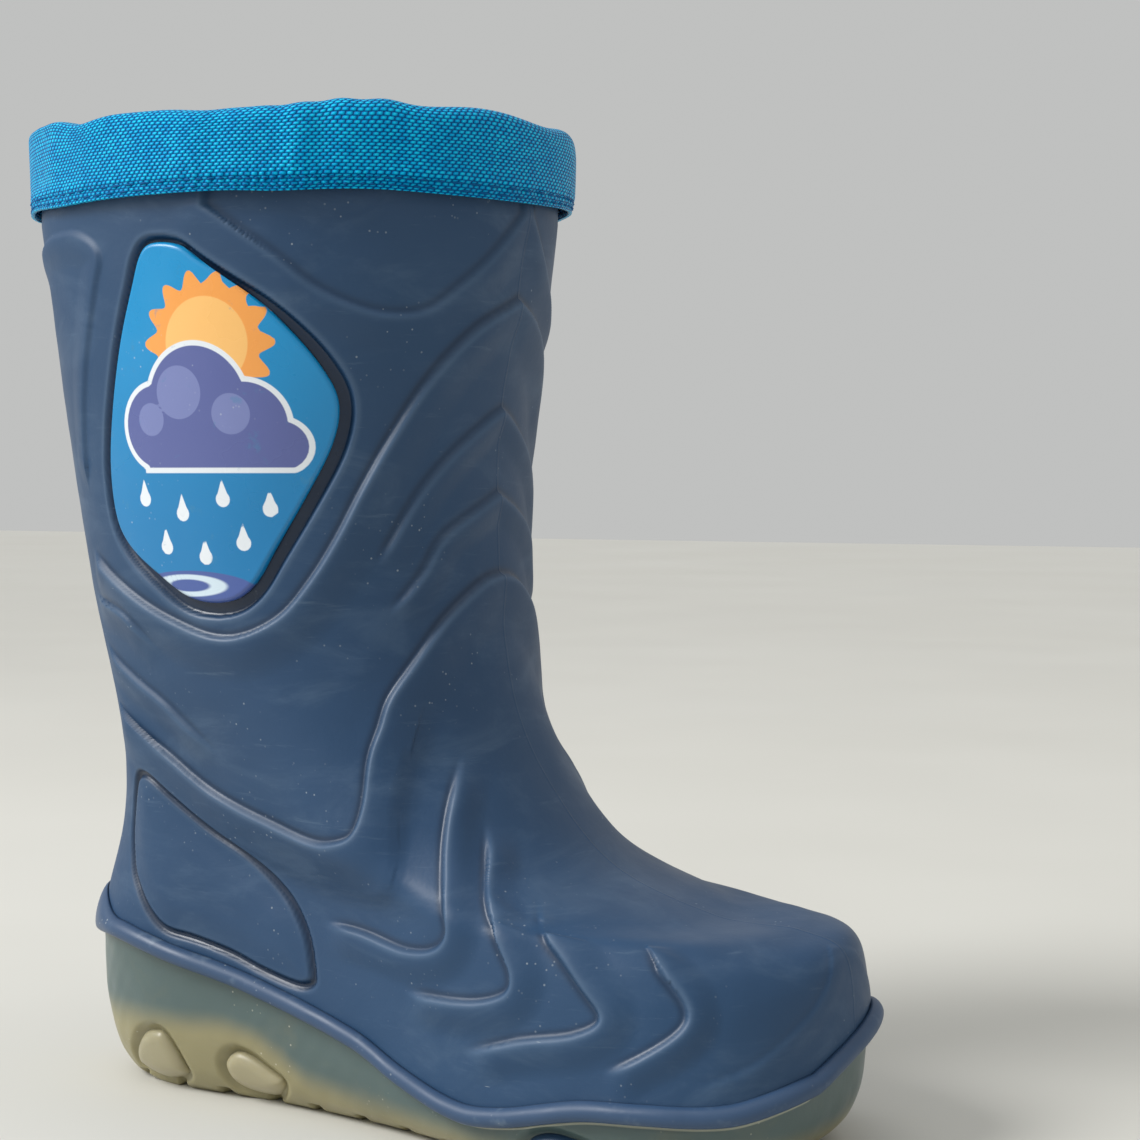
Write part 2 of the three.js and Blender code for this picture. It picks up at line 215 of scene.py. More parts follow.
def surface_normal(station, u):
    step = 0.004
    low = np.clip(np.asarray(station, float) - step, 0, 1 - 2 * step)
    up = surface(low + 2 * step, u) - surface(low, u)
    around = surface(station, np.asarray(u) + step) - surface(station, np.asarray(u) - step)
    normal = np.cross(around, up)
    return normal / np.linalg.norm(normal, axis=-1, keepdims=True)


def inside(station, u, depth):
    """Points a depth inside the outer surface."""
    return surface(station, u) - surface_normal(station, u) * depth


def rolled_rim(station, u, depth, thick):
    """Rings over the top of a wall, in a half circle from its outer face at a depth to its inner one."""
    roll = np.linspace(0, math.pi, 7)[1:-1, None, None]
    deep = depth + thick / 2 * (1 - np.cos(roll))
    rim = surface(station, u)[None] - surface_normal(1.0, u)[None] * deep
    rim[..., 2:3] += thick / 2 * np.sin(roll)
    return rim.reshape(len(roll), -1, 3)


def station_at(height):
    """The station past 1 at which the upright part of the shaft reaches a height."""
    return 1 + (height - SHAFT_STRAIGHT) / SHAFT_STRAIGHT


def round_steps(count):
    return np.arange(count) / count


def plan_ring(inset, height_at, count):
    u = round_steps(count)
    p = plan(u) - plan_outward(u) * inset
    return np.stack([p[:, 0], p[:, 1], height_at(p[:, 0], p[:, 1])], -1)


# ---- meshes ----


def to_frame(points):
    points = np.asarray(points, float).reshape(-1, 3)
    return (points - np.array([CENTRE_X, 0, 0])) * MM


def add_object(name, data):
    made = bpy.data.objects.new(name, data)
    bpy.context.scene.collection.objects.link(made)
    return made


def make_piece(name, points, faces, material, body):
    mesh = bpy.data.meshes.new(name)
    mesh.from_pydata(to_frame(points).tolist(), [], faces)
    mesh.materials.append(material)
    mesh.polygons.foreach_set("use_smooth", [True] * len(mesh.polygons))
    piece = add_object(name, mesh)
    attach(piece, body)
    return piece


def ring_faces(rows, columns, joined=False, first=0):
    """Quads between rows of a closed ring; joined also ties the last row to the first."""
    r, c = np.meshgrid(np.arange(rows if joined else rows - 1), np.arange(columns), indexing="ij")
    r2, c2 = (r + 1) % rows, (c + 1) % columns
    quads = np.stack([r * columns + c, r * columns + c2, r2 * columns + c2, r2 * columns + c], -1)
    return (quads.reshape(-1, 4) + first).tolist()


def cap_faces(columns, first, facing_up):
    """Strips across a ring that close it."""
    faces = []
    for i in range(columns // 2):
        a, b, c, d = i, i + 1, columns - i - 1, (columns - i) % columns
        face = [a, b, c] if a == d else [a, b, c, d]
        if b == c:
            face = [a, b, d]
        faces.append([first + k for k in (face if facing_up else face[::-1])])
    return faces


def closed_rings(rows, columns, top_up):
    """Faces of rings closed at both ends; the last one's cap faces up or down."""
    last = (rows - 1) * columns
    return ring_faces(rows, columns) + cap_faces(columns, 0, False) + cap_faces(columns, last, top_up)


def add_values(piece, **values):
    for name, value in values.items():
        attribute = piece.data.attributes.new(name, "FLOAT", "POINT")
        attribute.data.foreach_set("value", np.asarray(value, np.float32).ravel())


def add_uv(piece, u, v):
    """A UV map from one value pair for each vertex. Where u wraps round, a face keeps to one side."""
    mesh = piece.data
    corner = np.empty(len(mesh.loops), np.int32)
    mesh.loops.foreach_get("vertex_index", corner)
    uv = np.stack([np.ravel(u)[corner], np.ravel(v)[corner]], -1)
    whole = np.ravel(u).max()
    quads = uv.reshape(-1, 4, 2)
    wrapped = quads[:, :, 0].max(1) - quads[:, :, 0].min(1) > whole / 2
    wrapping = quads[wrapped, :, 0]
    quads[wrapped, :, 0] = np.where(wrapping < whole / 2, wrapping + whole, wrapping)
    layer = mesh.uv_layers.new(name="cloth")
    layer.data.foreach_set("uv", quads.astype(np.float32).ravel())


# ---- lines on the shell ----

side_t = np.linspace(0, 1, 421)
side_u = np.linspace(0, 0.5, 361)  # the outer half of the boot
side_grid = surface(side_t[:, None], side_u[None])


def nearest_on_side(point):
    """Indices of the surface lattice nearest to (x, z) or (x, y, z) seen from the outer side."""
    gap = (side_grid[..., 0] - point[0]) ** 2 + (side_grid[..., 2] - point[-1]) ** 2
    if len(point) == 3:
        gap = gap + (side_grid[..., 1] - min(point[1], 0)) ** 2
    return np.unravel_index(np.argmin(gap), gap.shape)


def curve_through(points, steps, closed=False):
    p = np.array(points, float)
    n = len(p)
    spans = n if closed else n - 1
    i = np.repeat(np.arange(spans), steps)
    f = np.tile(np.arange(steps) / steps, spans)[:, None]
    near = [p[(i + k) % n] if closed else p[np.clip(i + k, 0, n - 1)] for k in (-1, 0, 1, 2)]
    made = spline(*near, f)
    return made if closed else np.vstack([made, p[-1]])


def side_line(points, closed=False, steps=8):
    """A smooth line on the outer side through (x, z) or (x, y, z) points."""
    knots = np.array([side_grid[nearest_on_side(p)] for p in points])
    line = curve_through(knots, steps, closed)
    for _ in range(3):
        if closed:
            line = (np.roll(line, 1, 0) + 2 * line + np.roll(line, -1, 0)) / 4
        else:
            line[1:-1] = (line[:-2] + 2 * line[1:-1] + line[2:]) / 4
    return np.vstack([line, line[:1]]) if closed else line


POINTS_AT_ONCE = 8000


def across_line(points, normals, line, reach=14.0):
    """For each point its distance from a line, positive on the line's right as seen from outside,
    and the length along the line of the nearest place. Points far from all of it count as on its left."""
    a, b = line[:-1], line[1:]
    ab = b - a
    size = np.maximum((ab**2).sum(1), 1e-9)
    start = np.concatenate([[0], np.cumsum(np.sqrt(size))])[:-1]
    distance = np.full(len(points), -reach)
    along = np.zeros(len(points))
    near = np.flatnonzero(
        ((points > line.min(0) - reach) & (points < line.max(0) + reach)).all(1)
    )
    for part in np.array_split(near, max(1, len(near) // POINTS_AT_ONCE)):
        p = points[part][:, None]
        f = np.clip(((p - a) * ab).sum(2) / size, 0, 1)
        off = p - (a + f[..., None] * ab)
        gap = (off**2).sum(2)
        k = gap.argmin(1)
        rows = np.arange(len(part))
        side = (np.cross(ab[k], off[rows, k]) * normals[part]).sum(1)
        distance[part] = -np.sign(side) * np.sqrt(gap[rows, k])
        along[part] = start[k] + f[rows, k] * np.sqrt(size[k])
    return distance, along


def tapered(along, length, fade_in, fade_out):
    """1 along a line, fading to 0 at an end that has a fade length."""
    start = smoothstep(along, 0, fade_in) if fade_in else 1.0
    end = smoothstep(length - along, 0, fade_out) if fade_out else 1.0
    return start * end


# Moulded steps of the upper, each from its low rear end to its front end. The rubber stands proud
# on the line's right, most at the line, and falls back over `fall`.
STEPS = [
    # height, fall, fade in, fade out, points (x, z) or (x, y, z)
    (1.55, 10, 8, 0, [
        (22, 120), (34, 113), (48, 106), (63, 102), (75, 106), (82, 114), (87, 123), (91, 133),
        (96, -28, 144), (102, -21, 157), (107, -12, 167), (109, 0, 173),
    ]),
    (1.25, 7, 6, 0, [(93, 117), (95, 122), (99, -22, 132), (102, -15, 140), (105, -6, 147), (105, 0, 150)]),
    (1.25, 7, 6, 0, [(95, 107), (99, -22, 115), (101, -17, 123), (104, -9, 128), (104, 0, 132)]),
    (1.6, 12, 10, 0, [
        (22, 87), (41, 76), (54, 69), (69, 64), (82, 61), (89, 61), (93, 63), (94.5, 69), (94, 78), (95, 84),
        (96, -29, 90), (99, -25, 97), (102, -17, 106), (104, -7, 113), (104, 0, 115),
    ]),
    (1.1, 8, 9, 12, [(20, 110), (33, 107), (39, 103), (46, 97)]),
    (1.1, 8, 9, 12, [(21, 100), (32, 93), (42, 88), (49, 83), (58, 76)]),
    (1.5, 8, 9, 12, [
        (81, 43), (93, 42.5), (105, 40.5), (113, 41.5), (116.5, 45), (115.5, 50), (111, 60), (109, 69),
        (108, -19, 79),
    ]),
    (1.5, 8, 9, 9, [
        (104, 32), (118, 32), (126, 33), (131, 35), (131.5, 38.5), (129, 43), (123, 51), (118, 59),
        (115, -22, 65),
    ]),
    (1.5, 8, 9, 9, [
        (120, 22), (134, 26), (144, 28), (149.5, 30.5), (150.5, 33), (147, 37), (142, 42), (136, 47),
        (129, -24, 53),
    ]),
    (1.4, 7, 7, 12, [
        (151, 21.5), (157, 24), (163, 28), (166, 31), (166.5, 33.5), (165, 36.5), (160.5, 41),
        (150, -25, 44.5),
    ]),
    (0.3, 5, 8, 0, [(166, -31, 19), (173, -25, 22), (178, -17, 28), (180, -8, 34), (179, 0, 38)]),
    (1.0, 9, 0, 0, [
        (64, 191), (78, 181), (86, 174), (93, 170), (98, -30, 168.5), (102, -24, 170), (106, -19, 174),
        (110, -10, 182), (112, -2, 191),
    ]),
]
TALLEST_STEP = max(step[0] for step in STEPS)
# A soft outer edge of the band below the fourth step.
BAND_EDGE = [
    (28, 73), (48, 61), (63, 55), (81, 50), (96, 49), (102, 52), (103, 59), (101, 69), (101, -29, 78),
]
HEEL_PANEL = [
    (29, 70), (33, 70), (40, 66), (50, 60), (58, 56), (64, 53), (69.5, 49), (73.5, 45), (77, 39), (78.6, 33),
    (78, 30), (74, 29), (65, 31), (55, 34), (45, 36), (38, 37), (33, 40), (29, 45), (26, 50), (25, 58),
    (27, 66),
]
REAR_STRIP = [
    (2, 182), (6, 185), (14, 187), (24, 187.5), (30, 186.5), (34, 184), (35.5, 181), (34, 176), (30, 164),
    (27, 152), (25, 140),
]
PRINT_OUTLINE = [
    (50, 184), (57, 183), (62, 180), (74, 172), (81, 165), (86, 158), (88.5, 151), (87, 142), (82, 132),
    (75, 120), (70, 113), (64, 109.5), (55, 110), (46, 115), (38, 121), (34, 127), (33.5, 137), (36, 149),
    (40, 164), (44, 175), (46.5, 181),
]
GROOVE_NARROW = 1.1  # the open groove round the print is narrow at the rear
GROOVE_WIDE = 2.9  # and wide at the front and below

print_line = side_line(PRINT_OUTLINE, closed=True)
print_centre = print_line[:-1].mean(0)


def print_groove(points):
    """Width of the open groove round the print, by direction from the print's middle."""
    away = points[..., [0, 2]] - print_centre[[0, 2]]
    away = away / np.maximum(np.linalg.norm(away, axis=-1, keepdims=True), 1e-6)
    return mix(GROOVE_NARROW, GROOVE_WIDE, smoothstep(away @ np.array([0.8, -0.6]), -0.5, 0.6))


def relief(points, normals):
    """Moulded relief of the upper, and masks of a painted highlight along its edges and of painted shade in
    its grooves and at the steps' feet.
    """
    one_side = points * np.array([1, -1, 1]) * np.where(points[:, 1:2] > 0, 1, np.array([1, -1, 1]))
    facing = normals * np.where(points[:, 1:2] > 0, np.array([1, -1, 1]), 1)
    height = np.zeros(len(points))
    edge = np.zeros(len(points))
    groove = np.zeros(len(points))
    for high, fall, fade_in, fade_out, knots in STEPS:
        line = side_line(knots)
        length = np.linalg.norm(np.diff(line, axis=0), axis=1).sum()
        d, along = across_line(one_side, facing, line)
        # Steps fade where the surface turns upwards, sooner on the inner side.
        upward = facing[:, 2] + 0.35 * smoothstep(points[:, 1], -3, 6)
        shape = tapered(along, length, fade_in, fade_out) * (1 - smoothstep(upward, 0.74, 0.94))
        back = 1 - smoothstep(d, 0.8, fall)
        # A step is crisp on the side and softer round the heel.
        soft = 0.5 * smoothstep(-facing[:, 0], 0.25, 0.75)
        height += high * shape * smoothstep(d, -0.75 - soft, 0.55 + soft) * back
        clear = shape * high / TALLEST_STEP
        # A painted highlight along each step's lip and painted shade at its foot.
        edge = np.maximum(edge, clear * bell(d - 0.5, 0.7))
        groove = np.maximum(groove, 0.7 * clear * bell(d + 0.9, 0.8))
    d, along = across_line(one_side, facing, side_line(BAND_EDGE))
    height += -0.8 * smoothstep(d, -2.5, 2.5) * (1 - smoothstep(d, 3, 13)) * smoothstep(along, 0, 25)
    d, _ = across_line(one_side, facing, side_line(HEEL_PANEL, closed=True))
    height += 0.7 * smoothstep(d, 0, 7) - 0.95 * bell(d, 0.85, 4)
    # Painted shade in the groove round the heel panel and a painted highlight on its edge.
    groove = np.maximum(groove, bell(d, 1.0, 4))
    edge = np.maximum(edge, 0.3 * bell(np.abs(d) - 1.4, 0.5))
    d, along = across_line(one_side, facing, side_line(REAR_STRIP))
    height += 0.75 * smoothstep(d, -0.7, 0.7) * (1 - smoothstep(d, 1, 8)) * smoothstep(along, 0, 6)
    d, _ = across_line(points, normals, print_line)
    width = print_groove(points)
    in_groove = smoothstep(d, -width - 0.55, -width + 0.45)
    height = np.where(in_groove > 0, height * (1 - in_groove), height) - (PANEL_RECESS + 0.3) * in_groove
    # A painted highlight on the lip outside the print's groove and painted shade in the groove.
    edge = np.maximum(edge, 0.8 * bell(d + width + 0.9, 0.6))
    groove = np.maximum(groove, in_groove)
    return height, edge, groove


# ---- materials ----


class Paint:
    """A material's node tree, built with short calls."""

    def __init__(self, name):
        self.material = bpy.data.materials.new(name)
        self.material.use_nodes = True
        self.tree = self.material.node_tree
        self.shader = self.tree.nodes["Principled BSDF"]
        self.place = self.node("TexCoord", "Object")

    def put(self, socket, value):
        if isinstance(value, bpy.types.NodeSocket):
            self.tree.links.new(value, socket)
        elif value is not None:
            socket.default_value = value

    def set(self, **values):
        """Values or links for the shader's sockets, with _ for the spaces of their names."""
        for name, value in values.items():
            self.put(self.shader.inputs[name.replace("_", " ")], value)

    def node(self, kind, output, inputs=None, **settings):
        """An output of a new node with these inputs, given by name or number."""
        made = self.tree.nodes.new("ShaderNode" + kind)
        for name, value in settings.items():
            setattr(made, name, value)
        for name, value in (inputs or {}).items():
            self.put(made.inputs[name], value)
        return made.outputs[output]

    def value(self, name):
        return self.node("Attribute", "Fac", attribute_name=name)

    def scaled(self, scale, turn=(0, 0, 0)):
        """The place stretched and turned."""
        return self.node("Mapping", "Vector", {"Vector": self.place, "Scale": scale, "Rotation": turn})

    def noise(self, scale, detail=3.0, rough=0.55, vector=None, distort=0.0):
        inputs = {"Vector": vector or self.place, "Scale": scale, "Detail": detail}
        return self.node("TexNoise", "Fac", inputs | {"Roughness": rough, "Distortion": distort})

    def cells(self, scale, vector=None):
        return self.node("TexVoronoi", "Distance", {"Vector": vector or self.place, "Scale": scale})

    def math(self, operation, a, b=None):
        return self.node("Math", 0, {0: a, 1: b}, operation=operation)

    def times(self, a, b):
        return self.math("MULTIPLY", a, b)

    def plus(self, a, b):
        return self.math("ADD", a, b)

    def part(self, vector, axis):
        return self.node("SeparateXYZ", axis, {0: vector})

    def between(self, value, low, high, to_low=0.0, to_high=1.0):
        """Maps a value from one range to another, smoothly and clamped."""
        ends = {"From Min": low, "From Max": high, "To Min": to_low, "To Max": to_high}
        return self.node("MapRange", "Result", {"Value": value} | ends, interpolation_type="SMOOTHSTEP")

    def blend(self, share, a, b):
        return self.node("Mix", 2, {0: share, 6: a, 7: b}, data_type="RGBA")

    def wash(self, tone, ink, where, low, high, share):
        """The tone with a share of an ink over it where a value rises from low to high."""
        return self.blend(self.between(where, low, high, 0, share), tone, colour(*ink))

    def uneven(self, noise, low, high):
        return self.between(noise, 0.3, 0.7, low, high)

    def bump(self, height, distance, strength=1.0, over=None):
        inputs = {"Strength": strength, "Distance": distance, "Height": height, "Normal": over}
        return self.node("Bump", "Normal", inputs)


def colour(red, green, blue):
    """An sRGB colour from 0 to 255 as the linear one that shaders take."""
    shares = [v / 255 for v in (red, green, blue)]
    linear = [c / 12.92 if c <= 0.04045 else ((c + 0.055) / 1.055) ** 2.4 for c in shares]
    return (*linear, 1.0)


def dust(paint, amount=1.0):
    """Small pale specks and short fibres: 1 on a speck."""
    specks = paint.between(paint.cells(520), 0.15, 0.07)
    patches = paint.between(paint.noise(60, 3, 0.6), 0.5, 0.7)
    small = paint.times(specks, patches)
    fibres = paint.cells(60, paint.scaled((1, 1, 9), (0.5, 0.3, 0.2)))
    places = paint.between(paint.noise(25, 1), 0.6, 0.66)
    fibre = paint.times(paint.between(fibres, 0.05, 0.02), places)
    both = paint.math("MAXIMUM", small, fibre)
    return paint.times(both, amount)


def rubber_material():
    paint = Paint("upper_rubber")
    edge, groove = paint.value("edge"), paint.value("groove")
    cloud = paint.noise(14, 3, 0.5)
    tone = paint.blend(cloud, colour(28, 60, 94), colour(38, 72, 106))
    scuffs = paint.noise(36, 5, 0.65, paint.scaled((1.0, 1.0, 2.6), (0.3, 0.9, 0.5)), 0.6)
    tone = paint.wash(tone, (84, 108, 134), scuffs, 0.46, 0.74, 0.28)
    scratches = paint.noise(120, 4, 0.7, paint.scaled((0.5, 0.5, 5.0), (0.9, 0.5, 0.3)))
    tone = paint.wash(tone, (96, 118, 140), scratches, 0.6, 0.8, 0.3)
    # A painted highlight along the edges, then painted shade in the grooves and at the steps' feet.
    tone = paint.blend(paint.times(edge, 0.34), tone, colour(96, 120, 146))
    tone = paint.blend(paint.times(groove, 0.8), tone, colour(12, 28, 50))
    tone = paint.blend(dust(paint, 0.6), tone, colour(160, 170, 178))
    grain = paint.noise(900, 2, 0.5)
    waves = paint.noise(60, 2, 0.4)
    parting = paint.between(paint.math("ABSOLUTE", paint.part(paint.place, "Y")), 0.0005, 0.0001)
    normal = paint.bump(grain, 0.0001, 0.35)
    normal = paint.bump(waves, 0.0006, 0.22, normal)
    normal = paint.bump(parting, 0.0002, 0.5, normal)
    rough = paint.uneven(paint.noise(30, 4, 0.6), 0.42, 0.58)
    rough = paint.math("SUBTRACT", rough, paint.times(groove, 0.2))
    paint.set(Base_Color=tone, Roughness=rough, Normal=normal, Specular_IOR_Level=0.42)
    return paint.material


def bead_material():
    paint = Paint("bead_rubber")
    tone = paint.blend(paint.noise(40, 3), colour(40, 66, 98), colour(54, 80, 112))
    tone = paint.wash(tone, (120, 138, 154), paint.noise(160, 3), 0.58, 0.72, 0.3)
    tone = paint.blend(dust(paint, 0.5), tone, colour(190, 196, 198))
    normal = paint.bump(paint.noise(700, 2), 0.0001, 0.3)
    normal = paint.bump(paint.noise(90, 2), 0.0004, 0.3, normal)
    rough = paint.uneven(paint.noise(50, 3), 0.38, 0.55)
    paint.set(Base_Color=tone, Roughness=rough, Normal=normal)
    return paint.material


def sole_material(name, top, low, cloudy=0.35):
    """Cloudy clear rubber: darker where the blue inside shows through near the joint."""
    paint = Paint(name)
    height = paint.value("height")
    veil = paint.plus(height, paint.between(paint.noise(32, 2), 0.25, 0.75, -0.22, 0.22))
    tone = paint.blend(paint.between(veil, -0.3, 1.2), low, top)
    tone = paint.wash(tone, (122, 118, 92), paint.noise(120, 3), 0.5, 0.75, 0.2)
    tone = paint.blend(dust(paint, 0.6), tone, colour(205, 200, 184))
    tone = paint.wash(tone, (176, 176, 156), paint.value("flash"), 0.2, 0.9, 0.75)
    normal = paint.bump(paint.noise(420, 2), 0.00015, 0.3)
    normal = paint.bump(paint.noise(70, 2), 0.0005, 0.25, normal)
    rough = paint.uneven(paint.noise(45, 3), 0.3, 0.48)
    paint.set(Base_Color=tone, Roughness=rough, Normal=normal)
    paint.set(Subsurface_Weight=cloudy, Subsurface_Scale=0.004, Subsurface_Radius=(1.0, 0.9, 0.6))
    return paint.material


def core_material():
    paint = Paint("sole_base")
    tone = paint.blend(paint.noise(70, 4), colour(40, 84, 130), colour(58, 108, 156))
    tone = paint.blend(dust(paint, 0.4), tone, colour(150, 160, 170))
    paint.set(Base_Color=tone, Roughness=paint.uneven(paint.noise(90, 3), 0.5, 0.7))
    paint.set(Normal=paint.bump(paint.noise(500, 3), 0.0002, 0.4))
    return paint.material


PRINT_BLUR = 0.12  # the inks' edges are soft over this many millimetres each way
PRINT_INKS = [
    ("puddle", (70, 92, 158)),
    ("ripple", (206, 224, 236)),
    ("sun", (240, 160, 78)),
    ("sun_core", (246, 190, 112)),
    ("cloud_rim", (226, 232, 238)),
    ("cloud", (88, 98, 156)),
    ("cloud_light", (118, 128, 180)),
    ("drops", (228, 234, 240)),
]


def print_material():
    """Glossy film printed with a sun, a cloud, raindrops and a puddle."""
    paint = Paint("print_film")
    tone = paint.blend(paint.between(paint.value("rise"), 0.1, 0.9), colour(0, 120, 178), colour(8, 140, 198))
    for name, ink in PRINT_INKS:
        share = paint.between(paint.value(name), -PRINT_BLUR, PRINT_BLUR)
        tone = paint.blend(share, tone, colour(*ink))
    tone = paint.wash(tone, (60, 130, 170), paint.noise(220, 4, 0.65), 0.62, 0.72, 0.35)
    tone = paint.blend(dust(paint, 0.5), tone, colour(200, 208, 212))
    normal = paint.bump(paint.noise(300, 2), 0.0001, 0.25)
    rough = paint.uneven(paint.noise(60, 3), 0.24, 0.42)
    paint.set(Base_Color=tone, Roughness=rough, Normal=normal, Coat_Weight=0.15, Coat_Roughness=0.2)
    return paint.material


WEAVE_ALONG = 1.4  # mm from one dash of the weft to the next
WEAVE_DOWN = 0.68  # mm from one row of dashes to the next


def weave_material():
    """Shiny plain weave: slanting dashes of weft with a painted highlight on their crests, over a ground
    darkened with painted shade, in millimetres of the cloth map.
    """
    paint = Paint("cuff_fabric")
    cloth = paint.node("UVMap", "UV", uv_map="cloth")
    u = paint.plus(paint.part(cloth, "X"), paint.times(paint.noise(55, 2), 0.9))
    v = paint.plus(paint.part(cloth, "Y"), paint.times(paint.noise(48, 2), 0.7))
    u = paint.math("DIVIDE", u, WEAVE_ALONG)
    v = paint.math("DIVIDE", v, WEAVE_DOWN)
    row = paint.math("FLOOR", v)
    shifted = paint.plus(u, paint.times(paint.math("MODULO", row, 2.0), 0.5))
    shifted = paint.plus(shifted, paint.times(paint.math("FRACT", v), 0.16))
    wave_u = paint.math("ABSOLUTE", paint.math("SINE", paint.times(shifted, math.pi)))
    wave_v = paint.math("ABSOLUTE", paint.math("SINE", paint.times(v, math.pi)))
    weft = paint.times(paint.math("POWER", wave_u, 0.8), paint.math("POWER", wave_v, 0.5))
    thread = paint.noise(900, 2, 0.6, paint.scaled((0.4, 0.4, 3.0)))
    level = paint.times(weft, paint.between(paint.noise(520, 2), 0.25, 0.75, 0.75, 1.12))
    # Painted shade in the ground between the dashes and a painted highlight on their crests.
    tone = paint.blend(paint.between(level, 0.15, 0.6), colour(0, 66, 128), colour(0, 156, 220))
    tone = paint.blend(paint.between(level, 0.6, 0.95), tone, colour(28, 208, 244))
    tone = paint.wash(tone, (0, 112, 178), paint.noise(30, 3), 0.35, 0.7, 0.15)
    tone = paint.blend(paint.times(paint.value("seam"), 0.4), tone, colour(0, 66, 122))
    height = paint.plus(weft, paint.times(thread, 0.25))
    rough = paint.between(level, 0, 1, 0.5, 0.34)
    paint.set(Base_Color=tone, Normal=paint.bump(height, 0.0004, 0.8), Roughness=rough)
    paint.set(Specular_IOR_Level=0.3, Specular_Tint=colour(60, 190, 240))
    return paint.material


def thread_material():
    paint = Paint("cuff_thread")
    twist = paint.noise(1400, 2, 0.5, paint.scaled((1, 1, 2), (0, 0.6, 0)))
    tone = paint.blend(twist, colour(0, 56, 108), colour(6, 104, 164))
    paint.set(Base_Color=tone, Roughness=0.5, Normal=paint.bump(twist, 0.0002, 0.6), Specular_IOR_Level=0.1)
    return paint.material


def felt_material(name="liner_felt"):
    paint = Paint(name)
    fibres = paint.noise(260, 6, 0.7, None, 1.2)
    clumps = paint.noise(45, 4, 0.6)
    tone = paint.blend(fibres, colour(96, 102, 112), colour(168, 172, 178))
    tone = paint.wash(tone, (128, 134, 144), clumps, 0.45, 0.7, 0.4)
    tone = paint.blend(paint.times(paint.value("seam"), 0.6), tone, colour(70, 76, 88))
    hair = paint.noise(1100, 4, 0.7, paint.scaled((1, 1, 0.35), (0.4, 0.5, 0)))
    normal = paint.bump(hair, 0.0004, 0.7)
    normal = paint.bump(fibres, 0.0008, 0.5, normal)
    rough = paint.between(clumps, 0, 1, 0.85, 1.0)
    paint.set(Base_Color=tone, Roughness=rough, Normal=normal)
    paint.set(Sheen_Weight=0.5, Sheen_Roughness=0.6, Sheen_Tint=colour(225, 228, 232))
    return paint.material


def floor_material():
    paint = Paint("floor")
    tone = paint.blend(paint.noise(3, 3), colour(206, 204, 196), colour(214, 213, 207))
    paint.set(Base_Color=tone, Roughness=paint.uneven(paint.noise(6, 3), 0.55, 0.7))
    return paint.material


# ---- the upper ----

rubber = rubber_material()
UPRIGHT_RINGS = (196, 200)  # heights of the rings above the turn to upright


def upper_shell():
    u = round_steps(AROUND)[None]
    low = np.linspace(0, 1, UP)[:, None]
    outer_t = np.vstack([low, *([[station_at(z)]] for z in UPRIGHT_RINGS)])
    base = surface(outer_t, u)
    normals = surface_normal(outer_t, u)
    flat, facing = base.reshape(-1, 3), normals.reshape(-1, 3)
    height, edge, groove = relief(flat, facing)
    height = height + 0.07 * ripple(flat, 26, 3) + 0.03 * ripple(flat, 9, 4)
    height *= smoothstep(flat[:, 2] - joint_z(flat[:, 0], flat[:, 1]), 0.5, 4)
    outer = (flat + facing * height[:, None]).reshape(base.shape)

    rim_t = station_at(SHAFT_TOP - WALL / 2)
    rim = rolled_rim(rim_t, u, 0, WALL)
    inner_t = np.concatenate([[rim_t], np.linspace(1, 0.045, UP // 3)])[:, None]
    inner = inside(inner_t, u, WALL)
    floor = plan_ring(WALL, lambda x, y: joint_z(x, y) + WALL, AROUND)[None]
    rows = np.concatenate([outer, rim, inner, floor])
    faces = closed_rings(len(rows), AROUND, False)
    piece = make_piece("upper_rubber_shell", rows, faces, rubber, "boot")
    plain = np.zeros((len(rows) - len(outer)) * AROUND)
    # Only the outer face carries the painted highlight and the painted groove shade.
    add_values(piece, edge=np.concatenate([edge, plain]), groove=np.concatenate([groove, plain]))
    return piece


upper = upper_shell()
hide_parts("upper_shell")

# ---- the bead round the lower edge of the upper ----

BEAD_HEIGHT = 4.0
BEAD_PROUD = 2.4
BEAD_HUG = 0.15  # the strip's own edges lie this far off the shell
LEDGE_HEIGHT = 11.0  # the bead grows into a kick-off ledge at the back of the heel
LEDGE_PROUD = 0.6  # where it stands this share as far out
LEDGE_END = 22.0  # and is back to its own height here


def bead():
    u = round_steps(AROUND)
    base = surface(0.0, u)
    outward = np.concatenate([plan_outward(u), np.zeros((AROUND, 1))], 1)
    turn = np.linspace(-math.pi / 2, math.pi / 2, 15)[:, None]
    plump = 1 + 0.04 * ripple(base, 30, 11) + 0.02 * ripple(base, 8, 12)
    ledge = 1 - smoothstep(base[:, 0], 4, LEDGE_END)
    lift = mix(BEAD_HEIGHT, LEDGE_HEIGHT, ledge) * (1 + np.sin(turn)) / 2
    out = BEAD_HUG + (BEAD_PROUD - BEAD_HUG) * np.cos(turn) ** 0.85
    proud = np.maximum(out * mix(1, LEDGE_PROUD, ledge) * plump, BEAD_HUG)
    # The strip leans with the shell behind it.
    wall = surface(np.linspace(0, 0.2, 80)[:, None], u[None])
    rise = wall[..., 2] - base[:, 2]
    leaning = [
        [np.interp(lift[:, i], rise[:, i], wall[:, i, axis]) for i in range(AROUND)] for axis in (0, 1)
    ]
    rows = np.stack([*np.transpose(leaning, (0, 2, 1)), base[:, 2] + lift], -1)
    rows += outward * proud[..., None]
    faces = ring_faces(len(rows), AROUND, joined=True)
    return make_piece("bead_strip", rows, faces, bead_material(), "boot")


bead_strip = bead()
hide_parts("rand_bead")

# ---- the printed film ----


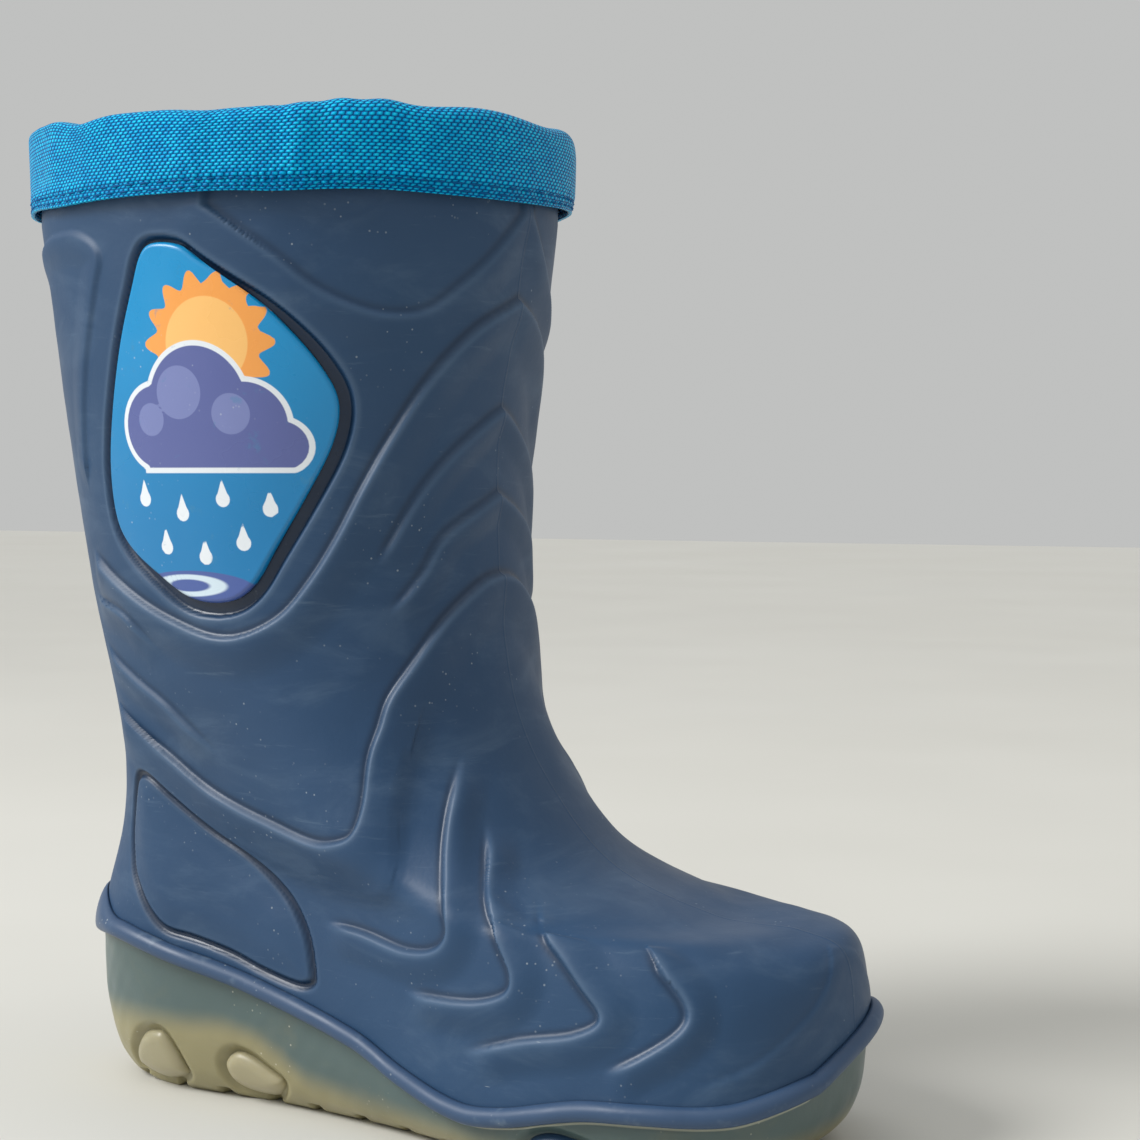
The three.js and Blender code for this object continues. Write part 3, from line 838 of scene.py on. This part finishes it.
def side_point(points):
    """Points (x, z) of the outer side as (station, u), by Newton steps from the lattice."""
    found = np.array([nearest_on_side(p) for p in points])
    t, u = side_t[found[:, 0]], side_u[found[:, 1]]
    step = 1e-4
    for _ in range(4):
        here = surface(t, u)[:, [0, 2]]
        by_t = (surface(t + step, u)[:, [0, 2]] - here) / step
        by_u = (surface(t, u + step)[:, [0, 2]] - here) / step
        miss = points - here
        det = by_t[:, 0] * by_u[:, 1] - by_t[:, 1] * by_u[:, 0]
        t = t + (miss[:, 0] * by_u[:, 1] - miss[:, 1] * by_u[:, 0]) / det
        u = u + (by_t[:, 0] * miss[:, 1] - by_t[:, 1] * miss[:, 0]) / det
    return t, u


def disc(x, z, cx, cz, r):
    return r - np.hypot(x - cx, z - cz)


def drop(x, z, cx, cz, size):
    """A raindrop: round below, pointed above. Positive inside, in millimetres."""
    up = z - cz
    cone = np.minimum(size * 0.94 - up * 0.36 - np.abs(x - cx), up - size * 0.2)
    return np.maximum(disc(x, z, cx, cz, size), cone)


def motif(x, z):
    """The print's shapes as distances in millimetres, positive inside each."""
    cloud = np.max([
        disc(x, z, 50, 146, 8.5), disc(x, z, 60, 151, 11.5),
        disc(x, z, 71, 146.5, 8.5), disc(x, z, 78, 142, 5),
        np.minimum.reduce([x - 47, 79 - x, z - 137.5, 146 - z]),
    ], axis=0)
    cloud = np.minimum(cloud, z - 137.5)
    light = np.max([
        disc(x, z, 56, 153, 5.5), disc(x, z, 68, 148.5, 4.2), disc(x, z, 48.5, 147.5, 3.4),
    ], axis=0)
    angle = np.arctan2(z - 163, x - 63)
    rays = 13.5 + 1.6 * np.cos(angle * 14) - np.hypot(x - 63, z - 163)
    drops = np.max([
        drop(x, z, cx, cz, 1.6)
        for cx, cz in [(45, 131), (55, 128), (65, 131), (75, 129), (50, 121), (60, 119), (69, 122)]
    ], axis=0)
    puddle = 1 - np.hypot((x - 56) / 15, (z - 112.5) / 3.6)
    ring = 0.14 - np.abs(0.5 - np.hypot((x - 55) / 15, (z - 113) / 3.6))
    return {
        "sun": rays, "sun_core": disc(x, z, 63, 163, 9.5), "cloud": cloud, "cloud_rim": cloud + 1.1,
        "cloud_light": np.minimum(light, cloud - 1), "drops": drops,
        "puddle": puddle * 4, "ripple": ring * 2.5,
    }


FILM_ROUND = 1.1  # radius of the film's rounded edge
FILM_SKIRT = 0.5


def print_film():
    loop = print_line[:-1][:, [0, 2]]
    around = len(loop)
    spans = 90
    share = np.sin(np.linspace(0, math.pi / 2, spans))[1:, None, None]
    middle = print_centre[[0, 2]]
    flat = (middle + (loop - middle) * share).reshape(-1, 2)
    t, u = side_point(flat)
    base, normal = surface(t, u), surface_normal(t, u)
    d, _ = across_line(base, normal, print_line, 30.0)
    d = np.maximum(d, 0)
    bend = FILM_ROUND - np.minimum(d, FILM_ROUND)
    drop_off = FILM_ROUND - np.sqrt(np.maximum(FILM_ROUND**2 - bend**2, 0))
    rise = 0.25 * smoothstep(d, 0, 14) - 0.1
    face = base + normal * (rise - drop_off)[:, None]
    skirt = face[-around:] - normal[-around:] * FILM_SKIRT
    rows = np.concatenate([face.reshape(-1, around, 3), skirt[None]])
    centre = face[:around].mean(0)
    points = np.vstack([rows.reshape(-1, 3), centre])
    faces = [[b, a, d2, c] for a, b, c, d2 in ring_faces(len(rows), around)]
    hub = len(points) - 1
    faces += [[hub, i, (i + 1) % around] for i in range(around)]
    piece = make_piece("print_film", points, faces, print_material(), "boot")
    x, z = points[:, 0], points[:, 2]
    add_values(piece, rise=(z - z.min()) / np.ptp(z), **motif(x, z))
    return piece


film = print_film()
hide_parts("print_panel")

# ---- the sole ----

# Above this height the blue inside shows through the clear rubber.
cloud_edge = profile([0, 30, 58, 66, 76, 100, 130, 150, 175], [16, 17, 17, 14.5, 8, 6.5, 5, 6, 8])
sole_inset = profile([0, 0.06, 0.22, 0.5, 1], [TREAD_INSET + 2.5, TREAD_INSET, 4.4, 2.2, SOLE_INSET])
PODS = [
    # node, x from, x to, height, side
    ("heel_pod_outer_rear", 24, 40, 13, -1),
    ("heel_pod_outer_front", 52, 68, 11, -1),
    ("heel_pod_inner_rear", 24, 40, 13, 1),
    ("heel_pod_inner_front", 52, 68, 11, 1),
    ("forefoot_pod_outer", 136, 156, 9.5, -1),
    ("forefoot_pod_inner", 136, 156, 9.5, 1),
]
POD_LEAN = 3.0  # the pods' outlines sit half of this further back than their stated ends
POD_LIFT = 2.0
POD_PROUD = 0.5
POD_DEPTH = 3.5
POCKET_DEPTH = 1.7
NOTCH_DEPTH = 1.5  # of the tread's grooves where they reach the side wall
NOTCH_START = 12.0
NOTCH_END = FOOT_LENGTH - 20
PIT_FLOOR = 4.0  # height of the floor under the base
SHELF_INSETS = (4.0, 8.0, CORE_INSET - GAP)

REAR_LEAF = [
    # across from -1 to 1, up from 0 to 1
    (-1, 0.29), (-0.83, 0.56), (-0.36, 0.89), (0.1, 1), (0.45, 0.98), (0.74, 0.75), (0.98, 0.4), (0.98, 0.18),
    (0.33, 0.01), (-0.25, 0), (-0.92, 0.14),
]
FRONT_LEAF = [
    (-1, 0.59), (-0.82, 0.86), (-0.46, 1), (0, 0.92), (0.61, 0.66), (1, 0.45), (0.76, 0.16), (0.37, 0),
    (-0.35, 0.02), (-0.82, 0.21),
]
LEAVES = {pod[0]: REAR_LEAF if pod[0].endswith("rear") else FRONT_LEAF for pod in PODS}


def pod_outline(pod):
    """A pod's rounded outline in the side view."""
    node, start, end, high, _ = pod
    leaf = np.array(LEAVES[node], float)
    half = (end - start) / 2
    x = (start + end - POD_LEAN) / 2 + leaf[:, 0] * half
    top = high - 1.2 if node.startswith("forefoot") else high + 0.6
    z = POD_LIFT + leaf[:, 1] * (top - POD_LIFT)
    return curve_through(np.stack([x, z], -1), 8, closed=True)


def pod_gap(x, z, pod):
    """Distance from a pod's outline in the side view, positive inside."""
    x, z = np.asarray(x, float), np.asarray(z, float)
    line = pod_outline(pod)
    points = np.stack([x.ravel(), z.ravel()], -1)
    gap = np.full(len(points), 20.0)
    within = np.zeros(len(points), bool)
    near = np.flatnonzero(((points > line.min(0) - 4) & (points < line.max(0) + 4)).all(1))
    p = points[near]
    for a, b in zip(line, np.roll(line, -1, 0)):
        along = b - a
        f = np.clip(((p - a) @ along) / (along @ along), 0, 1)
        gap[near] = np.minimum(gap[near], np.linalg.norm(p - a - f[:, None] * along, axis=1))
        crosses = (a[1] > p[:, 1]) != (b[1] > p[:, 1])
        rise = along[1] if along[1] else 1.0
        within[near] ^= crosses & (p[:, 0] < a[0] + along[0] * (p[:, 1] - a[1]) / rise)
    return np.where(within, gap, -gap).reshape(x.shape)


def sole_wall(share, u, extra=0.0):
    """Points of the sole's side wall, from the tread at share 0 to the joint at 1."""
    share, u = np.broadcast_arrays(share, u)
    p = plan(u) - plan_outward(u) * (sole_inset(share) - extra)[..., None]
    x = p[..., 0]
    z = mix(tread_z(x), joint_z(x, p[..., 1]) - GAP, share)
    return np.stack([x, p[..., 1], z], -1)


def outsole():
    u = round_steps(AROUND)[None]
    share = np.linspace(0, 1, 60)[:, None] ** 1.1
    wall = sole_wall(share, u)
    outward = plan_outward(np.broadcast_to(u, wall.shape[:2]))
    outward = np.concatenate([outward, np.zeros((*wall.shape[:2], 1))], -1)
    x, y, z = wall[..., 0], wall[..., 1], wall[..., 2]
    move = 0.12 * ripple(wall, 22, 21) + 0.05 * ripple(wall, 6, 22)
    pocket = np.zeros(x.shape)
    for pod in PODS:
        same_side = np.sign(y) == pod[4]
        pocket = np.maximum(pocket, same_side * smoothstep(pod_gap(x, z, pod), -2.2, -0.2))
    notch_phase = np.abs(((x - TREAD_START) % TREAD_PITCH) - TREAD_GROOVE / 2)
    notch = (1 - smoothstep(notch_phase, 1.0, 1.9)) * (1 - smoothstep(z - tread_z(x), 1.6, 2.4))
    notch *= (x > NOTCH_START) & (x < NOTCH_END)
    move = move * smoothstep(share, 0, 0.2) * (1 - smoothstep(share, 0.9, 1)) - POCKET_DEPTH * pocket
    move -= NOTCH_DEPTH * notch
    wall = wall + outward * move[..., None]
    wall[..., 2] += 0.5 * notch * (1 - share)

    shelf = [plan_ring(inset, lambda x, y: joint_z(x, y) - GAP, AROUND) for inset in SHELF_INSETS]
    pit = [
        plan_ring(CORE_INSET - GAP, lambda x, y: mix(joint_z(x, y), PIT_FLOOR, s), AROUND)
        for s in (0.5, 0.95)
    ]
    rows = np.concatenate([wall, np.array(shelf), np.array(pit)])
    faces = ring_faces(len(rows), AROUND) + cap_faces(AROUND, (len(rows) - 1) * AROUND, True)

    # The tread: strips from the outer edge to the inner one, cut by grooves across the foot.
    half = AROUND // 2
    left = wall[0, : half + 1]
    right = wall[0, -np.arange(half + 1) % AROUND]
    steps = np.linspace(0, 1, 61)[1:-1]
    bridge = mix(left[:, None], right[:, None], steps[None, :, None])
    from_edge = np.minimum(steps, 1 - steps)[None] * np.linalg.norm(right - left, axis=-1)[:, None]
    phase = ((bridge[..., 0] - TREAD_START) % TREAD_PITCH) - TREAD_GROOVE / 2
    cut = (1 - smoothstep(np.abs(phase), TREAD_GROOVE / 2 - 0.4, TREAD_GROOVE / 2 + 0.3))
    cut *= smoothstep(from_edge, 1.2, 2.4)
    cut *= (bridge[..., 0] > TREAD_START - 4) & (bridge[..., 0] < TREAD_END + 8)
    bridge[..., 2] += TREAD_DEPTH * cut
    first = len(rows) * AROUND
    wide = len(steps)

    def at(i, k):
        if k == 0:
            return i
        if k == wide + 1:
            return -i % AROUND
        return first + i * wide + k - 1

    for i in range(half):
        for k in range(wide + 1):
            face = [at(i, k), at(i, k + 1), at(i + 1, k + 1), at(i + 1, k)]
            face = [v for n, v in enumerate(face) if v not in face[:n]]
            if len(face) > 2:
                faces.append(face)
    points = np.vstack([rows.reshape(-1, 3), bridge.reshape(-1, 3)])
    material = sole_material("clear_sole", colour(80, 98, 97), colour(146, 139, 104))
    piece = make_piece("clear_outsole", points, faces, material, "boot")
    height = np.zeros(len(points))
    height[: wall[..., 0].size] = ((z - cloud_edge(x)) / 5 + 0.5).ravel()
    flash = np.zeros(len(points))
    flash[: wall[..., 0].size] = (smoothstep(share, 0.93, 0.98) * mix(0.3, 1, smoothstep(x, 95, 120))).ravel()
    add_values(piece, height=height, flash=flash)
    return piece


sole = outsole()
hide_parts("outsole")


def pod_piece(pod, material):
    node, *_, side = pod
    around = 96
    spans = 16
    angle = round_steps(around) * 2 * math.pi
    middle = pod_outline(pod).mean(0)
    # The outline is where the distance from the pod's edge is nothing, along each direction.
    reach = np.zeros(around)
    direction = np.stack([np.cos(angle), np.sin(angle)], -1)
    for step in (8.0, 4.0, 2.0, 1.0, 0.5, 0.25, 0.12, 0.06, 0.03):
        tried = middle + direction * (reach + step)[:, None]
        reach = np.where(pod_gap(tried[:, 0], tried[:, 1], pod) > 0, reach + step, reach)
    share = np.sin(np.linspace(0, math.pi / 2, spans))[1:]
    flat = middle + direction[None] * (reach[None] * share[:, None])[..., None]
    x, z = flat[..., 0], flat[..., 1]
    edge = pod_gap(x, z, pod)
    round_edge = 3.0
    near = np.minimum(np.maximum(edge, 0), round_edge)
    fall = round_edge - np.sqrt(round_edge**2 - (round_edge - near) ** 2)

    u = np.linspace(0.02, 0.48, 400) if side < 0 else np.linspace(0.52, 0.98, 400)
    levels = np.linspace(0.02, 1, 30)
    wall = sole_wall(levels[:, None], u[None], POD_PROUD)
    order = np.argsort(wall[0, :, 0])
    level_y, level_z = (
        np.array([np.interp(x.ravel(), row[order, 0], row[order, axis]) for row in wall]) for axis in (1, 2)
    )
    y = np.array([np.interp(h, level_z[:, i], level_y[:, i]) for i, h in enumerate(z.ravel())])
    y = y.reshape(x.shape)
    face = np.stack([x, y - side * fall * 0.8, z], -1)
    back = face[-1].copy()
    back[:, 1] -= side * POD_DEPTH
    rows = np.concatenate([face, back[None]])
    points = np.vstack([rows.reshape(-1, 3), face[0].mean(0), back.mean(0)])
    faces = ring_faces(len(rows), around)
    hub, tail, last = len(points) - 2, len(points) - 1, (len(rows) - 1) * around
    faces += [[hub, (i + 1) % around, i] for i in range(around)]
    faces += [[tail, last + i, last + (i + 1) % around] for i in range(around)]
    if side < 0:
        faces = [f[::-1] for f in faces]
    piece = make_piece(node + "_block", points, faces, material, "boot")
    add_values(piece, height=points[:, 2] / 24 - 0.2, flash=np.zeros(len(points)))
    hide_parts(node)
    return piece


pod_rubber = sole_material("pod_rubber", colour(150, 145, 118), colour(164, 156, 126))
blue_rubber = sole_material("blue_pod_rubber", colour(28, 54, 82), colour(40, 70, 102), 0.1)
for pod in PODS:
    forefoot = pod[0].startswith("forefoot")
    block = pod_piece(pod, blue_rubber if forefoot else pod_rubber)

core = bpy.data.objects["midsole_core"]
core.data.materials.clear()
core.data.materials.append(core_material())

# ---- the liner ----

felt = felt_material()
felt_around = 360
FOOT_EASE = 1.2  # the liner's sole is this much smaller, clear of the boot's inner corner
TOE_CURL = 2.0  # the insole curls up this much towards the toe
LEG_START = 0.66  # station of the leg's lower edge
FOOT_END = 0.654  # station of the foot's upper edge, a seam's gap below it
LEG_SEAM = 0.03  # the leg's seam runs down beside the back
FOOT_SEAMS = (0.12, 0.63)  # stations of the foot's seams round the sole and the ankle


def felt_form(name, rows, faces, normal, seam, last_outer, grain, seed):
    """A piece of rough felt, drawn in at its seams. Rows past last_outer are its inner face."""
    flat = rows.reshape(-1, 3)
    seam = np.broadcast_to(seam, rows.shape[:2]).ravel()
    coarse, fine = grain
    pile = coarse * ripple(flat, 5, seed) + fine * ripple(flat, 1.8, seed + 1) - 0.5 * seam
    flip = np.where(np.arange(len(rows)) > last_outer, -1, 1).repeat(rows.shape[1])
    flat = flat + normal.reshape(-1, 3) * (pile * flip * 0.7)[:, None]
    piece = make_piece(name, flat, faces, felt, "liner")
    add_values(piece, seam=seam)
    return piece


def liner_leg():
    u = round_steps(felt_around)[None]
    rows_up = 110
    top = station_at(LINER_TOP - FELT / 2)
    t = np.linspace(LEG_START, top, rows_up)[:, None]
    rim = rolled_rim(top, u, LINER_OUT, FELT)
    rows = np.concatenate([inside(t, u, LINER_OUT), rim, inside(t[::-1], u, LINER_IN)])
    normal = surface_normal(1.0, np.broadcast_to(u, (len(rows), felt_around)))
    faces = ring_faces(len(rows), felt_around, joined=True)
    seam = bell(u - LEG_SEAM, 0.004)
    return felt_form("felt_leg", rows, faces, normal, seam, rows_up + 2, (0.16, 0.1), 31)


def liner_foot():
    u = round_steps(felt_around)[None]
    rows_up = 70
    t_out = np.linspace(0.06, FOOT_END, rows_up)[:, None]
    t_in = np.linspace(FOOT_END, 0.1, rows_up)[:, None]
    low = LINER_OUT + FOOT_EASE / 2
    floor = plan_ring(LINER_OUT + FOOT_EASE, lambda x, y: joint_z(x, y) + low, felt_around)[None]
    floor_in = plan_ring(LINER_IN, lambda x, y: joint_z(x, y) + LINER_IN, felt_around)[None]
    rows = np.concatenate([floor, inside(t_out, u, LINER_OUT), inside(t_in, u, LINER_IN), floor_in])
    faces = closed_rings(len(rows), felt_around, False)
    station = np.concatenate([[[0.05]], t_out, t_in, [[0.05]]])
    normal = surface_normal(station + 0 * u, u + 0 * station)
    seam = np.maximum(*(bell(station - at, 0.012) for at in FOOT_SEAMS))
    return felt_form("felt_foot", rows, faces, normal, seam, rows_up, (0.14, 0.08), 41)


def insole_floor(x, y):
    return joint_z(x, y) + LINER_IN + GAP + TOE_CURL * smoothstep(x, 135, 165)


def insole_pad():
    count = felt_around
    insets = [INSOLE_INSET + 1.2, INSOLE_INSET, INSOLE_INSET, INSOLE_INSET + 0.5, INSOLE_INSET + 2]
    lifts = [0, 0.5, INSOLE - 0.8, INSOLE - 0.2, INSOLE]
    rows = np.array([plan_ring(inset, insole_floor, count) for inset in insets])
    rows[..., 2] += np.array(lifts)[:, None]
    rows[..., 2] += 0.05 * ripple(rows, 7, 51)
    faces = closed_rings(len(rows), count, True)
    piece = make_piece("felt_insole", rows, faces, felt_material("insole_felt"), "liner")
    add_values(piece, seam=np.zeros(rows[..., 0].size))
    return piece


leg = liner_leg()
foot = liner_foot()
pad = insole_pad()
for piece, node, fill in [(leg, "liner_leg", 0.8), (foot, "liner_foot", 0.7), (pad, "liner_insole", 0.9)]:
    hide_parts(node)

# ---- the cuff ----

CUFF_SECTION = [
    # out from the shaft's wall, height: up inside the liner, over the rim and down outside
    (-8.9, 196.2), (-8.8, 201), (-8.6, 206), (-7.0, 208.6), (-4.4, 209.6), (-1.0, 210.0), (1.6, 209.8),
    (3.2, 208.4), (3.7, 205.5), (3.7, 202), (3.5, 198), (3.1, 195), (2.7, 193.1),
]
CUFF_CLOSE = 1.9  # behind the leg the cloth stands off the rubber no more than this
CUFF_RADIUS = 46.0  # of a circle of about its girth, to place its ripples on
CUFF_TOP = 209.5
CLOTH = 0.8
STITCH_LINES = (1.0, 2.4)  # the two rows of stitches stand this far above the lower edge


def cuff_at(u, row_share):
    """Points of the cuff's middle layer; row_share is 0 inside the liner and 1 at the lower edge."""
    section = curve_through(CUFF_SECTION, 12)
    length = np.concatenate([[0], np.cumsum(np.linalg.norm(np.diff(section, axis=0), axis=1))])
    at = np.asarray(row_share) * length[-1]
    out = np.interp(at, length, section[:, 0])
    behind = smoothstep(np.cos(2 * math.pi * u - 0.5), 0.3, 0.95)
    out = mix(out, np.minimum(out, CUFF_CLOSE), behind)
    high = np.interp(at, length, section[:, 1])
    base, normal = surface(1.0, u), surface_normal(1.0, u)
    points = base + normal * out[..., None]
    points[..., 2] = high
    return points, normal, at, length[-1]


def cuff_shape(u, row_share):
    points, normal, at, whole = cuff_at(u, row_share)
    from_edge = whole - at
    turn = 2 * math.pi * np.asarray(u)
    flat_circle = np.cos(turn) * CUFF_RADIUS, np.sin(turn) * CUFF_RADIUS
    circle = np.stack(np.broadcast_arrays(*flat_circle, points[..., 2]), -1)
    top = bell(points[..., 2] - CUFF_TOP, 3.2)
    outside = smoothstep(at, whole * 0.45, whole * 0.6)
    slack = smoothstep(from_edge, 2.2, 7)
    billow = 0.38 * ripple(circle * [1, 1, 0.55], 26, 61) + 0.26 * ripple(circle * [1, 1, 0.35], 11, 62)
    pucker = 0.13 * np.sin(turn * 104 + 0.8 * ripple(circle, 16, 63))
    pucker *= bell(from_edge - 2.5, 2.0)
    sewn = sum(0.28 * bell(from_edge - line, 0.5) for line in STITCH_LINES)
    move = outside * (billow * mix(0.25, 1.0, slack) + pucker - sewn)
    points = points + normal * move[..., None]
    level = circle * [1, 1, 0]
    points[..., 2] += top * (0.75 * ripple(level, 34, 64) + 0.4 * ripple(level, 13, 65))
    points[..., 2] += (1 - smoothstep(from_edge, 0, 6)) * 0.3 * ripple(level, 30, 66)
    seam = sum(bell(from_edge - line, 0.45) for line in STITCH_LINES)
    return points, seam, at


def cuff_cloth():
    count = 1080
    spans = 96
    u = round_steps(count)[None]
    share = np.linspace(0, 1, spans)[:, None]
    middle, seam, at = cuff_shape(u, share + 0 * u)
    around = np.roll(middle, -1, 1) - np.roll(middle, 1, 1)
    along = np.gradient(middle, axis=0)
    normal = np.cross(along, around)
    normal /= np.linalg.norm(normal, axis=-1, keepdims=True)
    outer, inner = middle + normal * CLOTH / 2, middle - normal * CLOTH / 2
    rows = np.concatenate([outer, inner[::-1]])
    faces = [f[::-1] for f in ring_faces(len(rows), count, joined=True)]
    piece = make_piece("woven_cuff", rows, faces, weave_material(), "liner")
    add_values(piece, seam=np.concatenate([seam, seam[::-1]]))
    distance = np.linalg.norm(np.roll(middle[spans // 2], -1, 0) - middle[spans // 2], axis=-1)
    across = (np.cumsum(distance) - distance)[None] + 0 * share
    add_uv(piece, np.concatenate([across, across]), np.concatenate([at, at[::-1]]))
    return piece, distance.sum(), at.max()


cuff, cuff_round, cuff_deep = cuff_cloth()


def stitches():
    """Short capsules that dip into the cloth at both ends, in two rows along the lower edge."""
    whole = cuff_at(np.zeros(1), np.ones(1))[3]
    points, faces = [], []
    pitch, radius, sides, beads = 2.7, 0.24, 8, 7
    for row, line in enumerate(STITCH_LINES):
        count = int(cuff_round / pitch)
        for k in range(count):
            middle_u = (k + 0.5 * row) / count
            half = 0.37 / count
            share = (whole - line) / whole
            us = middle_u + np.linspace(-half, half, beads)
            centre, _, _ = cuff_shape(us, np.full(beads, share))
            normal = surface_normal(1.0, us)
            arch = np.sin(np.linspace(0, math.pi, beads))
            centre = centre + normal * (CLOTH / 2 - 0.12 + 0.3 * arch)[:, None]
            along = np.gradient(centre, axis=0)
            along /= np.linalg.norm(along, axis=1, keepdims=True)
            side = np.cross(along, normal)
            thick = radius * np.sqrt(np.clip(1 - np.linspace(-1, 1, beads) ** 2 * 0.85, 0, 1))
            first = len(points) * beads * sides
            angle = round_steps(sides) * 2 * math.pi
            ring = centre[:, None] + thick[:, None, None] * (
                np.cos(angle)[None, :, None] * side[:, None] + np.sin(angle)[None, :, None] * normal[:, None]
            )
            points.append(ring.reshape(-1, 3))
            faces += ring_faces(beads, sides, first=first)
            last = first + (beads - 1) * sides
            faces += [list(range(first + sides - 1, first - 1, -1)), list(range(last, last + sides))]
    return make_piece("cuff_stitches", np.vstack(points), faces, thread_material(), "liner")


sewing = stitches()
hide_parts("cuff")

# ---- floor, light and camera ----

floor_mesh = bmesh.new()
bmesh.ops.create_grid(floor_mesh, x_segments=4, y_segments=4, size=4.0)
floor_data = bpy.data.meshes.new("floor")
floor_mesh.to_mesh(floor_data)
floor_mesh.free()
floor_data.materials.append(floor_material())
floor = add_object("floor", floor_data)

world = bpy.data.worlds.new("studio")
world.use_nodes = True
background = world.node_tree.nodes["Background"]
background.inputs["Color"].default_value = colour(222, 223, 222)
background.inputs["Strength"].default_value = 0.72
bpy.context.scene.world = world
BOOT_MIDDLE = Vector((0.0, 0.0, 0.1))


def look_along(piece, direction):
    piece.rotation_euler = Vector(direction).to_track_quat("-Z", "Y").to_euler()


def area_light(name, place, size, power, tint=(1.0, 1.0, 1.0)):
    data = bpy.data.lights.new(name, "AREA")
    data.shape = "RECTANGLE"
    data.size, data.size_y = size
    data.energy = power
    data.color = tint
    light = add_object(name, data)
    light.location = place
    look_along(light, BOOT_MIDDLE - Vector(place))


area_light("key", (-0.7, -0.6, 0.75), (0.8, 0.8), 5.0)
area_light("top_fill", (0.1, -0.2, 1.3), (1.0, 0.8), 2.0, (1.0, 0.99, 0.97))

sun_data = bpy.data.lights.new("daylight", "SUN")
sun_data.energy = 1.8
sun_data.angle = math.radians(24)
look_along(add_object("daylight", sun_data), (0.55, 0.62, -0.75))

CAMERA_PLACE = (0.28, -0.438, 0.136)
CAMERA_AZIMUTH = math.radians(29.5)
CAMERA_DROP = math.atan(95 / 2400)  # the camera looks down by this angle
camera_data = bpy.data.cameras.new("camera")
camera_data.lens = 75.79
camera_data.sensor_width = 36.0
camera_data.clip_start = 0.01
camera = add_object("camera", camera_data)
camera.location = CAMERA_PLACE
level = math.cos(CAMERA_DROP)
looking = (-math.sin(CAMERA_AZIMUTH) * level, math.cos(CAMERA_AZIMUTH) * level, -math.sin(CAMERA_DROP))
look_along(camera, looking)
bpy.context.scene.camera = camera
bpy.context.scene.view_settings.view_transform = "Standard"
